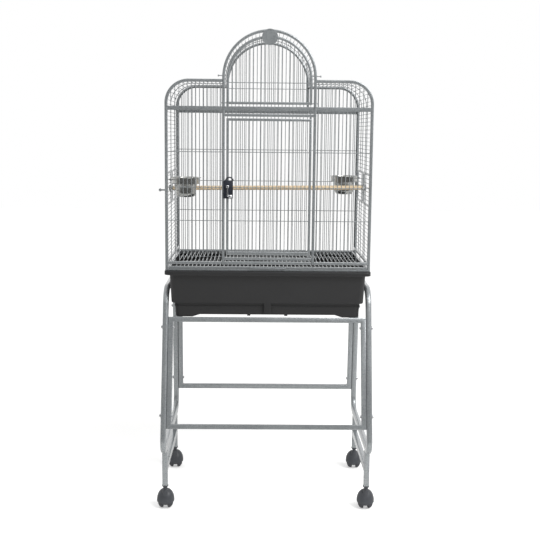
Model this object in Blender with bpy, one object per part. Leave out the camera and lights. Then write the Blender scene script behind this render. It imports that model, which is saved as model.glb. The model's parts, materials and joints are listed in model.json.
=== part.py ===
"""Domed bird cage: wire cage, feeder hatches, pull-out floor, seed basin and a stand on castors.

Metres, +Z up, the front faces -Y. The sizes are laid out round the middle of the cage, and an empty that
carries every sub-part then moves the origin to the middle of the space on the floor that the whole takes.
"""

import math

import bmesh
import bpy
from mathutils import Matrix, Vector

X_AXIS = Vector((1, 0, 0))
Y_AXIS = Vector((0, 1, 0))
Z_AXIS = Vector((0, 0, 1))
SIDES = (("left", -1), ("right", 1))
ENDS = (("front", -1), ("rear", 1))
HATCHES = (("front", "left", -1, -1), ("rear", "right", 1, 1))

# Clearances
FIT = 0.0003
PIN_CLEARANCE = 0.0003

# Cage plan, to the middle of its tubes
CAGE_HALF_WIDTH = 0.400
CAGE_HALF_DEPTH = 0.2675
POST_TUBE = 0.012
HOOP_TUBE = 0.011
HOOP_HALF_WIDTH = 0.1777
SHOULDER_RADIUS = 0.0865
DOOR_TUBE = 0.010
DOOR_GAP = 0.006

# Facets of the big bends
ARCH_STEPS = 14
SHOULDER_STEPS = 5
ROUND_STEPS = 16
EYE_STEPS = 8
HOOD_STEPS = 8

# Wires, and the rods that carry them
WIRE = 0.003
WIRE_PITCH = 0.0159
EDGE_WIRE = 0.004
FRAME_ROD = 0.005

# Heights of the cage
BASE_FRAME_BOTTOM = 0.9753
BASE_FRAME_HEIGHT = 0.0077
BASE_FRAME_WIDTH = 0.020
BOTTOM_RAIL_LOW = 1.0005
BOTTOM_RAIL_HEIGHT = 0.012
SILL_GAP = 0.0055
SILL_HEIGHT = 0.011
DOOR_LOW = 1.038
DOOR_HIGH = 1.5735
DOOR_BOTTOM_RAIL = 0.0145
HEADER_GAP = 0.0065
HEADER_HEIGHT = 0.011
MID_RAIL_LOW = 1.603
MID_RAIL_HEIGHT = 0.016
MID_RAIL_DEPTH = 0.004
ROOF_LEVEL = 1.717
HOOP_SPRING = 1.729
CROSS_WIRE_LEVELS = (1.174, 1.305, 1.443)

# Arch door
ARCH_PIVOT_LEVEL = 1.632
ARCH_CROSS_WIRE_LEVEL = 1.710
PIVOT_PIN_RADIUS = 0.002
PIVOT_PIN_REACH = 0.005
ARCH_LATCH_LEVEL = 1.736
ARCH_LATCH_REACH = 0.017
ARCH_LATCH_HEAD_RADIUS = 0.004
ARCH_LATCH_HEAD_LENGTH = 0.005
DISC_RADIUS = 0.031
DISC_THICKNESS = 0.002
DISC_HOLE_RADIUS = 0.0022
DISC_HOLE_INSET = 0.005

# Main door hinge and lock
DOOR_PIN_RADIUS = 0.002
DOOR_PIN_LENGTH = 0.007
DOOR_COLLAR_RADIUS = 0.0042
LOCK_PLATE_WIDTH = 0.038
LOCK_PLATE_HEIGHT = 0.059
LOCK_PLATE_THICKNESS = 0.003
LOCK_PLATE_LEFT = -0.1774
LOCK_PLATE_LOW = 1.274
LOCK_CORNER = 0.003
LEVER_LEVEL = 1.309
LEVER_X = -0.1602
LEVER_SHAFT_RADIUS = 0.0025
LEVER_HUB_RADIUS = 0.007
LEVER_HUB_LENGTH = 0.012
LEVER_ARM_RADIUS = 0.0028
LEVER_ARM_DROP = 0.033
LEVER_HOOK = 0.011
LEVER_KNOB_RADIUS = 0.009
LATCH_FINGER_LENGTH = 0.021
LATCH_FINGER_WIDTH = 0.007
LATCH_FINGER_THICKNESS = 0.002

# Feeder hatches
FEEDER_LOW = 1.236
FEEDER_HIGH = 1.355
FEEDER_FAR = 0.222
HINGE_BAR_HALF_WIDTH = 0.010
HINGE_BAR_THICKNESS = 0.003
HINGE_Y = 0.016
HATCH_PLANE_OFFSET = 0.0048
HATCH_OVERLAP = 0.008
HATCH_BAR_COUNT = 8
HINGE_ROD_RADIUS = 0.0022
EYE_RADIUS = 0.0045
EYE_HEIGHT = 0.006
EYE_BAY = 2.5
RING_INNER_RADIUS = 0.0535
RING_THICKNESS = 0.003
RING_BAND = 0.014
RING_BAR = 6
RING_LIP = 0.008
RING_FROM_WALL = 0.067
RING_FROM_HINGE = 0.117
RING_STRUT = 0.004
LATCH_TAB_REACH = 0.030
LATCH_TAB_LEVEL = 1.285
LATCH_TAB_HEIGHT = 0.010
LATCH_TAB_THICKNESS = 0.003

# Bowls
BOWL_HEIGHT = 0.0795
BOWL_WALL = 0.0012
BOWL_RING_CLEARANCE = 0.001
BOWL_FLANGE_LAP = 0.005
BOWL_FLANGE_THICKNESS = 0.0024
BOWL_WAIST_INSET = 0.0105
BOWL_WAIST_DROP = 0.024
BOWL_BASE_INSET = 0.0235

# Perch
PERCH_RADIUS = 0.009
PERCH_LEVEL = 1.294
PERCH_BOLT_RADIUS = 0.003
PERCH_BOLT_DEPTH = 0.025
WING_NUT_RADIUS = 0.0065
WING_NUT_LENGTH = 0.008
WING_LENGTH = 0.013
WING_THICKNESS = 0.003

# Pull-out floor grille
GRILLE_BAR_HEIGHT = 0.010
GRILLE_BAR_WIDTH = 0.008
GRILLE_SIDE_CLEARANCE = 0.0015
GRILLE_PULL_WIDTH = 0.142
GRILLE_PULL_REACH = 0.010

# Basin
BASIN_SIDE_LAP = 0.0035
BASIN_FRONT_LAP = 0.0165
BASIN_RIM_HEIGHT = 0.013
BASIN_RIM_WIDTH = 0.0185
BASIN_STEP_LEVEL = 0.848
BASIN_STEP_INSET = 0.0065
BASIN_TIER_INSET = 0.0190
BASIN_TIER_TAPER = 0.0035
BASIN_FOOT_HEIGHT = 0.021
BASIN_FOOT_WIDTH = 0.068
BASIN_FOOT_SLANT = 0.014
BASIN_WALL = 0.003
BASIN_CORNER = 0.022
BASIN_CORNER_STEPS = 3
BASIN_RIB_WIDTH = 0.030
BASIN_RIB_DEPTH = 0.004

# Stand
STAND_TOP = 0.7857
FRAME_TUBE = 0.020
STAND_SIDE_GAP = 0.0055
LOWER_BAR_LEVEL = 0.364
FRONT_TOP_INSET = 0.0045
FRONT_LEG_SPREAD = 0.114
REAR_TOP_INSET = 0.0265
REAR_LEG_SPREAD = 0.032
HOOP_BAND_WIDTH = 0.023
HOOP_BAND_DEPTH = 0.029
HOOP_BAND_ROUND = 0.006
SIDE_HOOP_DROP = 0.057
SIDE_HOOP_BOTTOM = 0.247
HOOP_BEND_RADII = (0.042, 0.062, 0.050, 0.050)
HOOP_BEND_STEPS = 4
UPPER_BOLT_LEVEL = 0.744
LOWER_BOLT_LEVEL = 0.405
STAND_BOLT_RADIUS = 0.003
STAND_BOLT_HEAD_RADIUS = 0.008
STAND_BOLT_HEAD_HEIGHT = 0.0065
STAND_NUT_RADIUS = 0.006
STAND_NUT_HEIGHT = 0.005

# Feet and castors
FOOT_TUBE = 0.022
FOOT_FRONT_INSET = 0.058
FOOT_REAR_INSET = 0.080
FOOT_BOTTOM = 0.101
STRETCHER_LOW = 0.158
STRETCHER_HEIGHT = 0.025
WHEEL_RADIUS = 0.031
WHEEL_WIDTH = 0.022
WHEEL_GAP = 0.019
WHEEL_STEPS = 16
WHEEL_EDGE = 0.003
AXLE_RADIUS = 0.003
CASTER_TRAIL = 0.018
HOOD_TOP = 0.085
HOOD_HALF_WIDTH = 0.0355
HOOD_RADIUS = 0.0355
HOOD_CLEARANCE = 0.0015
HOOD_STEP_HALF_WIDTH = 0.026
COLLAR_RADIUS = 0.0105
STEM_RADIUS = 0.005
STEM_LENGTH = 0.030

# Sizes that follow
FRONT_Y = -CAGE_HALF_DEPTH
SQUARE_OF_ROUND = math.sqrt(math.pi) / 2
BASE_FRAME_TOP = BASE_FRAME_BOTTOM + BASE_FRAME_HEIGHT
BOTTOM_RAIL_TOP = BOTTOM_RAIL_LOW + BOTTOM_RAIL_HEIGHT
SILL_LOW = BOTTOM_RAIL_TOP + SILL_GAP
SILL_TOP = SILL_LOW + SILL_HEIGHT
HEADER_LOW = DOOR_HIGH + HEADER_GAP
HEADER_TOP = HEADER_LOW + HEADER_HEIGHT
MID_RAIL_TOP = MID_RAIL_LOW + MID_RAIL_HEIGHT
STILE_X = HOOP_HALF_WIDTH - HOOP_TUBE / 2 - DOOR_GAP - DOOR_TUBE / 2
ARCH_SPRING = HOOP_SPRING - 0.0074
HOOP_INNER = HOOP_HALF_WIDTH - HOOP_TUBE / 2
HOOP_OUTER = HOOP_HALF_WIDTH + HOOP_TUBE / 2
EDGE_Y = CAGE_HALF_DEPTH - POST_TUBE / 2 - FIT - EDGE_WIRE / 2
RIB_Y = CAGE_HALF_DEPTH / 3
CROSS_OFFSET = WIRE * SQUARE_OF_ROUND + FIT
MID_RAIL_BACK = WIRE * SQUARE_OF_ROUND / 2 + FIT
MID_RAIL_FACE = MID_RAIL_BACK + MID_RAIL_DEPTH
WALL_LOWER_TOP = FEEDER_LOW - FRAME_ROD - FIT
UPPER_PANEL_LOW = FEEDER_HIGH + FRAME_ROD + FIT
HATCH_PLANE = CAGE_HALF_WIDTH + HATCH_PLANE_OFFSET
RING_X = CAGE_HALF_WIDTH - RING_FROM_WALL
RING_Y = HINGE_Y + RING_FROM_HINGE
RING_OUTER_RADIUS = RING_INNER_RADIUS + RING_THICKNESS
BOWL_TOP_RADIUS = RING_INNER_RADIUS - BOWL_RING_CLEARANCE
BOWL_FLANGE_RADIUS = RING_OUTER_RADIUS + BOWL_FLANGE_LAP
BASIN_FOOT_LEVEL = STAND_TOP + FIT
BASIN_TOP = BASE_FRAME_BOTTOM - FIT
BASIN_RIM_LOW = BASIN_TOP - BASIN_RIM_HEIGHT
BASIN_RIM_HALF_WIDTH = CAGE_HALF_WIDTH + POST_TUBE / 2 + BASIN_SIDE_LAP
BASIN_RIM_HALF_DEPTH = CAGE_HALF_DEPTH + POST_TUBE / 2 + BASIN_FRONT_LAP
BASIN_BODY_HALF_WIDTH = BASIN_RIM_HALF_WIDTH - BASIN_RIM_WIDTH
BASIN_BODY_HALF_DEPTH = BASIN_RIM_HALF_DEPTH - BASIN_RIM_WIDTH
BASIN_TIER_HALF_WIDTH = BASIN_BODY_HALF_WIDTH - BASIN_TIER_INSET
BASIN_TIER_HALF_DEPTH = BASIN_BODY_HALF_DEPTH - BASIN_TIER_INSET
FRAME_HALF_WIDTH = BASIN_BODY_HALF_WIDTH + STAND_SIDE_GAP
FRONT_TOP_Y = FRONT_TOP_INSET - BASIN_TIER_HALF_DEPTH
FRONT_LOW_Y = FRONT_TOP_Y - FRONT_LEG_SPREAD
REAR_TOP_Y = BASIN_TIER_HALF_DEPTH - REAR_TOP_INSET
REAR_LOW_Y = REAR_TOP_Y + REAR_LEG_SPREAD
SIDE_HOOP_TOP = BASIN_RIM_LOW - SIDE_HOOP_DROP
FOOT_FRONT_Y = FRONT_LOW_Y + FOOT_FRONT_INSET
FOOT_REAR_Y = REAR_LOW_Y - FOOT_REAR_INSET
HOOP_X = FRAME_HALF_WIDTH + FIT + HOOP_BAND_WIDTH / 2

STEEL = ("hammertone steel", (0.215, 0.255, 0.265, 1), 0.38, 0.75)
PLASTIC = ("charcoal plastic", (0.040, 0.040, 0.042, 1), 0.55, 0.0)
CASTOR = ("castor plastic", (0.072, 0.076, 0.083, 1), 0.45, 0.0)
TREAD = ("castor tread", (0.030, 0.031, 0.034, 1), 0.6, 0.0)
CHROME = ("chrome", (0.62, 0.62, 0.63, 1), 0.12, 1.0)
STAINLESS = ("stainless bowl", (0.50, 0.50, 0.49, 1), 0.22, 1.0)
LOCK_PAINT = ("dark lock paint", (0.018, 0.021, 0.032, 1), 0.4, 0.2)
WOOD = ("perch wood", (0.55, 0.36, 0.19, 1), 0.6, 0.0)


def clear_scene():
    for obj in list(bpy.data.objects):
        bpy.data.objects.remove(obj, do_unlink=True)


def material(finish):
    name, colour, roughness, metallic = finish
    found = bpy.data.materials.get(name)
    if found:
        return found
    made = bpy.data.materials.new(name)
    made.use_nodes = True
    shader = made.node_tree.nodes["Principled BSDF"]
    shader.inputs["Base Color"].default_value = colour
    shader.inputs["Roughness"].default_value = roughness
    shader.inputs["Metallic"].default_value = metallic
    made.diffuse_color = colour
    return made


def shape(mesh):
    """An object for one piece of a sub-part, with its faces pointing out."""
    bmesh.ops.recalc_face_normals(mesh, faces=mesh.faces)
    data = bpy.data.meshes.new("piece")
    mesh.to_mesh(data)
    mesh.free()
    obj = bpy.data.objects.new("piece", data)
    bpy.context.scene.collection.objects.link(obj)
    return obj


def block(low, high):
    low, high = Vector(low), Vector(high)
    mesh = bmesh.new()
    place = Matrix.Translation((low + high) / 2) @ Matrix.Diagonal((high - low).to_4d())
    bmesh.ops.create_cube(mesh, size=1, matrix=place)
    return shape(mesh)


def rod(start, end, radius, sides=8):
    """A straight round bar, as a prism whose flats are square to the axes."""
    start, end = Vector(start), Vector(end)
    mesh = bmesh.new()
    turn = Z_AXIS.rotation_difference(end - start).to_matrix().to_4x4()
    place = Matrix.Translation((start + end) / 2) @ turn @ Matrix.Rotation(math.pi / sides, 4, "Z")
    bmesh.ops.create_cone(
        mesh, cap_ends=True, segments=sides, radius1=radius, radius2=radius,
        depth=(end - start).length, matrix=place,
    )
    return shape(mesh)


def bore_radius(pin, sides=8):
    """A faceted bore's radius, so that a pin of this radius turns in it."""
    return (pin + PIN_CLEARANCE) / math.cos(math.pi / sides)


def square(width, height=None):
    """The corners of a rectangular section round its middle."""
    half, tall = width / 2, (height or width) / 2
    return ((half, tall), (-half, tall), (-half, -tall), (half, -tall))


def rounded(width, height, cut):
    """A rectangular section with its corners cut."""
    half, tall = width / 2, height / 2
    return (
        (half, tall - cut), (half - cut, tall), (cut - half, tall), (-half, tall - cut),
        (-half, cut - tall), (cut - half, -tall), (half - cut, -tall), (half, cut - tall),
    )


def sweep(path, normal, section, closed=False):
    """A bar of one section along a flat path, mitred where it turns."""
    mesh = bmesh.new()
    normal = Vector(normal).normalized()
    points = [Vector(point) for point in path]
    count = len(points)
    rings = []
    for i, point in enumerate(points):
        arrive = (point - points[i - 1]).normalized() if closed or i else None
        leave = (points[(i + 1) % count] - point).normalized() if closed or i + 1 < count else arrive
        arrive = arrive or leave
        side = normal.cross(arrive + leave).normalized()
        stretch = 1 / side.dot(normal.cross(leave))
        rings.append([mesh.verts.new(point + side * u * stretch + normal * v) for u, v in section])
    size = len(section)
    for i in range(count if closed else count - 1):
        here, there = rings[i], rings[(i + 1) % count]
        for j in range(size):
            k = (j + 1) % size
            mesh.faces.new((here[j], here[k], there[k], there[j]))
    if not closed:
        mesh.faces.new(rings[0])
        mesh.faces.new(rings[-1])
    return shape(mesh)


def turned(profile, centre, axis=Z_AXIS, steps=20, turn=0.0):
    """A profile of (radius, height) points turned round an axis. It ends on the axis, or closes on itself."""
    mesh = bmesh.new()
    place = Matrix.Translation(centre) @ Z_AXIS.rotation_difference(axis).to_matrix().to_4x4()
    rings = []
    for radius, height in profile:
        if radius == 0:
            rings.append([mesh.verts.new(place @ Vector((0, 0, height)))] * steps)
            continue
        angles = [turn + 2 * math.pi * i / steps for i in range(steps)]
        rings.append(
            [mesh.verts.new(place @ Vector((radius * math.cos(a), radius * math.sin(a), height))) for a in angles]
        )
    pairs = list(zip(rings, rings[1:]))
    if profile[0][0] > 0:
        pairs.append((rings[-1], rings[0]))
    for here, there in pairs:
        for i in range(steps):
            k = (i + 1) % steps
            corners = list(dict.fromkeys((here[i], here[k], there[k], there[i])))
            mesh.faces.new(corners)
    return shape(mesh)


def plate(outline, through, low, high):
    """A flat outline, given as 3-D points, extruded along one axis between two places."""
    mesh = bmesh.new()
    through = Vector(through)
    face = mesh.faces.new([mesh.verts.new(Vector(point) + through * low) for point in outline])
    made = bmesh.ops.extrude_face_region(mesh, geom=[face])["geom"]
    moved = [item for item in made if isinstance(item, bmesh.types.BMVert)]
    bmesh.ops.translate(mesh, verts=moved, vec=through * (high - low))
    return shape(mesh)


def joined(pieces):
    """One helper object from pieces that don't touch each other."""
    mesh = bmesh.new()
    for piece in pieces:
        mesh.from_mesh(piece.data)
        bpy.data.objects.remove(piece, do_unlink=True)
    return shape(mesh)


def boolean(obj, operation, helpers):
    group = bpy.data.collections.new("helpers")
    for helper in helpers:
        helper.hide_render = True
        helper.display_type = "WIRE"
        group.objects.link(helper)
    modifier = obj.modifiers.new(operation.lower(), "BOOLEAN")
    modifier.operation = operation
    modifier.solver = "EXACT"
    modifier.operand_type = "COLLECTION"
    modifier.collection = group
    bpy.context.view_layer.update()
    evaluated = obj.evaluated_get(bpy.context.evaluated_depsgraph_get())
    baked = bpy.data.meshes.new_from_object(evaluated)
    obj.modifiers.clear()
    obj.data = baked
    for helper in helpers:
        bpy.data.objects.remove(helper, do_unlink=True)
    bpy.data.collections.remove(group)


def whole():
    """The empty that carries every sub-part."""
    found = bpy.data.objects.get("cage_middle")
    if not found:
        found = bpy.data.objects.new("cage_middle", None)
        bpy.context.scene.collection.objects.link(found)
    return found


def centre_footprint():
    """Moves the empty so that the origin is in the middle of the bounding box, front to back."""
    bpy.context.view_layer.update()
    places = [vertex.co.y + obj.location.y for obj in whole().children for vertex in obj.data.vertices]
    whole().location.y = -(min(places) + max(places)) / 2
    print(f"cage middle is at y = {whole().location.y:.5f} m")


def sub_part(name, finish, pieces, holes=(), origin=(0, 0, 0)):
    """One named object: its pieces welded together, less its holes, with its origin where it turns or seats."""
    obj = pieces[0]
    if len(pieces) > 1:
        boolean(obj, "UNION", pieces[1:])
    if holes:
        boolean(obj, "DIFFERENCE", list(holes))
    obj.name = name
    obj.data.name = name
    obj.data.transform(Matrix.Translation(-Vector(origin)))
    obj.location = origin
    obj.parent = whole()
    obj.data.materials.clear()
    obj.data.materials.append(material(finish))
    obj.data.shade_smooth()
    obj.data.set_sharp_from_angle(angle=math.radians(35))
    return obj


def arc(centre, radius, start, end, steps):
    """Points (across, up) on a circle, from one angle in degrees to another."""
    angles = [math.radians(start + (end - start) * i / steps) for i in range(steps + 1)]
    return [(centre[0] + radius * math.cos(a), centre[1] + radius * math.sin(a)) for a in angles]


def rounded_path(corners, radii, steps):
    """A closed flat path of (across, up) points whose corners are arcs."""
    path = []
    count = len(corners)
    for i, corner in enumerate(corners):
        here = Vector(corner)
        back = (Vector(corners[i - 1]) - here).normalized()
        on = (Vector(corners[(i + 1) % count]) - here).normalized()
        half = back.angle(on) / 2
        centre = here + (back + on).normalized() * radii[i] / math.sin(half)
        first = here + back * radii[i] / math.tan(half) - centre
        sweep_angle = math.pi - 2 * half
        sign = 1 if back.x * on.y - back.y * on.x < 0 else -1
        for step in range(steps + 1):
            turned_by = Matrix.Rotation(sign * sweep_angle * step / steps, 2)
            path.append(tuple(centre + turned_by @ first))
    return path


def wire(start, end, size=WIRE):
    """A straight wire as a square bar of the round wire's area, set square to the frame."""
    start, end = Vector(start), Vector(end)
    along = end - start
    normal = X_AXIS if abs(along.x) < abs(along.z) or abs(along.x) < abs(along.y) else Z_AXIS
    return sweep((start, end), normal, square(size * SQUARE_OF_ROUND))


def grid_lines(low, high):
    """The places of the wires between two ends, on a grid that is centred on the cage."""
    margin = WIRE
    first = math.ceil((low + margin) / WIRE_PITCH)
    last = math.floor((high - margin) / WIRE_PITCH)
    return [i * WIRE_PITCH for i in range(first, last + 1)]


def shoulder_height(across):
    """The height of the roof tube's middle above a place across the cage."""
    straight = CAGE_HALF_WIDTH - SHOULDER_RADIUS
    beyond = max(0.0, abs(across) - straight)
    return ROOF_LEVEL - SHOULDER_RADIUS + math.sqrt(SHOULDER_RADIUS**2 - beyond**2)


def shoulder_path(side, low, inner_end, inset=0.0):
    """The cage's outline from a height on the wall, over the shoulder, to a place on the roof."""
    radius = SHOULDER_RADIUS - inset
    centre = (CAGE_HALF_WIDTH - SHOULDER_RADIUS, ROOF_LEVEL - SHOULDER_RADIUS)
    points = [(CAGE_HALF_WIDTH - inset, low)] + arc(centre, radius, 0, 90, SHOULDER_STEPS) + [(inner_end, ROOF_LEVEL - inset)]
    return [(side * x, z) for x, z in points]


def in_front_plane(points, y):
    return [(x, y, z) for x, z in points]


def side_panel(name, side, y, inward):
    """A front or rear panel beside the hoop: corner post, shoulder, roof tube, rails and upright wires."""
    inner = HOOP_OUTER + FIT
    outline = shoulder_path(side, BASE_FRAME_TOP + FIT, inner)
    pieces = [sweep(in_front_plane(outline, y), Y_AXIS, square(POST_TUBE))]
    edge, start = side * CAGE_HALF_WIDTH, side * inner
    left, right = min(edge, start), max(edge, start)
    depth = POST_TUBE / 2
    pieces.append(block((left, y - depth, BOTTOM_RAIL_LOW), (right, y + depth, BOTTOM_RAIL_TOP)))
    near, far = sorted((y - inward * MID_RAIL_FACE, y - inward * MID_RAIL_BACK))
    pieces.append(block((left, near, MID_RAIL_LOW), (right, far, MID_RAIL_TOP)))
    wires = []
    for across in grid_lines(inner, CAGE_HALF_WIDTH - POST_TUBE / 2):
        top = shoulder_height(across)
        wires.append(wire((side * across, y, BOTTOM_RAIL_TOP - FRAME_ROD), (side * across, y, top)))
    behind = y + inward * CROSS_OFFSET
    for level in CROSS_WIRE_LEVELS:
        wires.append(wire((edge, behind, level), (start, behind, level)))
    pieces.append(joined(wires))
    return sub_part(name, STEEL, pieces)


def hoop_path(radius, low, spring, steps=ARCH_STEPS):
    return [(radius, low)] + arc((0, spring), radius, 0, 180, steps) + [(-radius, low)]


def arch_height(across, radius, spring):
    return spring + math.sqrt(radius**2 - across**2)


def front_hoop():
    """The U of tube round both doors, drilled for the arch door's pivots and latch pins."""
    pieces = [sweep(in_front_plane(hoop_path(HOOP_HALF_WIDTH, BOTTOM_RAIL_LOW, HOOP_SPRING), FRONT_Y), Y_AXIS, square(HOOP_TUBE))]
    holes = []
    for _, side in SIDES:
        for level in (ARCH_PIVOT_LEVEL, ARCH_LATCH_LEVEL):
            reach = HOOP_TUBE
            middle = side * HOOP_HALF_WIDTH
            holes.append(
                rod((middle - reach, FRONT_Y, level), (middle + reach, FRONT_Y, level), PIVOT_PIN_RADIUS + PIN_CLEARANCE)
            )
    sub_part("front_hoop", STEEL, pieces, holes)


def front_sill():
    """The rails under the main door, with the hole that its lower pin turns in."""
    half = HOOP_INNER - FIT
    depth = POST_TUBE / 2
    pieces = [block((-half, FRONT_Y - depth, BOTTOM_RAIL_LOW), (half, FRONT_Y + depth, BOTTOM_RAIL_TOP))]
    depth = DOOR_TUBE / 2
    pieces.append(block((-half, FRONT_Y - depth, SILL_LOW), (half, FRONT_Y + depth, SILL_TOP)))
    stubs = [wire((x, FRONT_Y, BOTTOM_RAIL_TOP - FRAME_ROD), (x, FRONT_Y, SILL_LOW + FRAME_ROD)) for x in grid_lines(-half, half)]
    pieces.append(joined(stubs))
    bottom = SILL_TOP + FIT - DOOR_PIN_LENGTH - FRAME_ROD / 5
    hole = rod((STILE_X, FRONT_Y, bottom), (STILE_X, FRONT_Y, SILL_TOP + WIRE), DOOR_PIN_RADIUS + PIN_CLEARANCE)
    sub_part("front_sill", STEEL, pieces, [hole])


def front_header():
    """The rails between the main door and the arch door, with the hole for the main door's upper pin."""
    half = HOOP_INNER - FIT
    depth = DOOR_TUBE / 2
    pieces = [block((-half, FRONT_Y - depth, HEADER_LOW), (half, FRONT_Y + depth, HEADER_TOP))]
    pieces.append(block((-half, FRONT_Y - MID_RAIL_FACE, MID_RAIL_LOW), (half, FRONT_Y + WIRE, MID_RAIL_TOP)))
    stubs = [wire((x, FRONT_Y, HEADER_TOP - FRAME_ROD / 2), (x, FRONT_Y, MID_RAIL_LOW + FRAME_ROD)) for x in grid_lines(-half, half)]
    pieces.append(joined(stubs))
    top = HEADER_LOW - FIT + DOOR_PIN_LENGTH + FRAME_ROD / 5
    hole = rod((STILE_X, FRONT_Y, HEADER_LOW - WIRE), (STILE_X, FRONT_Y, top), DOOR_PIN_RADIUS + PIN_CLEARANCE)
    sub_part("front_header", STEEL, pieces, [hole])


def rear_centre_panel():
    """The middle of the back: a hoop like the front one, filled with upright wires."""
    y = CAGE_HALF_DEPTH
    outline = hoop_path(HOOP_HALF_WIDTH, BOTTOM_RAIL_LOW, HOOP_SPRING)
    pieces = [sweep(in_front_plane(outline, y), Y_AXIS, square(HOOP_TUBE))]
    depth = POST_TUBE / 2
    pieces.append(block((-HOOP_HALF_WIDTH, y - depth, BOTTOM_RAIL_LOW), (HOOP_HALF_WIDTH, y + depth, BOTTOM_RAIL_TOP)))
    pieces.append(
        block((-HOOP_HALF_WIDTH, y + MID_RAIL_BACK, MID_RAIL_LOW), (HOOP_HALF_WIDTH, y + MID_RAIL_FACE, MID_RAIL_TOP))
    )
    wires = []
    for x in grid_lines(-HOOP_INNER, HOOP_INNER):
        wires.append(wire((x, y, BOTTOM_RAIL_TOP - FRAME_ROD), (x, y, arch_height(x, HOOP_HALF_WIDTH, HOOP_SPRING))))
    for level in CROSS_WIRE_LEVELS + (ARCH_CROSS_WIRE_LEVEL,):
        behind = y - CROSS_OFFSET
        wires.append(wire((-HOOP_HALF_WIDTH, behind, level), (HOOP_HALF_WIDTH, behind, level)))
    pieces.append(joined(wires))
    sub_part("rear_centre_panel", STEEL, pieces)


def main_door():
    """The tall door: a tube frame with wires, and pins at the right stile that turn in sill and header."""
    low, high = DOOR_LOW + DOOR_TUBE / 2, DOOR_HIGH - DOOR_TUBE / 2
    corners = ((-STILE_X, low), (STILE_X, low), (STILE_X, high), (-STILE_X, high))
    pieces = [sweep(in_front_plane(corners, FRONT_Y), Y_AXIS, square(DOOR_TUBE), closed=True)]
    rail_top = DOOR_LOW + DOOR_BOTTOM_RAIL
    depth = DOOR_TUBE / 2
    reach = STILE_X - DOOR_TUBE / 4
    pieces.append(block((-reach, FRONT_Y - depth, DOOR_LOW), (reach, FRONT_Y + depth, rail_top)))
    wires = []
    for x in grid_lines(-STILE_X + DOOR_TUBE / 2, STILE_X - DOOR_TUBE / 2):
        wires.append(wire((x, FRONT_Y, rail_top - FRAME_ROD), (x, FRONT_Y, high)))
    for level in CROSS_WIRE_LEVELS:
        behind = FRONT_Y + CROSS_OFFSET
        wires.append(wire((-STILE_X, behind, level), (STILE_X, behind, level)))
    pieces.append(joined(wires))
    for face, seat, outward in ((DOOR_LOW, SILL_TOP + FIT, -1), (DOOR_HIGH, HEADER_LOW - FIT, 1)):
        root = (STILE_X, FRONT_Y, face - outward * DOOR_TUBE / 4)
        pieces.append(rod(root, (STILE_X, FRONT_Y, seat), DOOR_COLLAR_RADIUS))
        pieces.append(rod(root, (STILE_X, FRONT_Y, seat + outward * DOOR_PIN_LENGTH), DOOR_PIN_RADIUS))
    hole = rod(
        (LEVER_X, FRONT_Y - DOOR_TUBE, LEVER_LEVEL), (LEVER_X, FRONT_Y + DOOR_TUBE, LEVER_LEVEL),
        LEVER_SHAFT_RADIUS + PIN_CLEARANCE,
    )
    sub_part("main_door", STEEL, pieces, [hole], origin=(STILE_X, FRONT_Y, DOOR_LOW))


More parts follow.
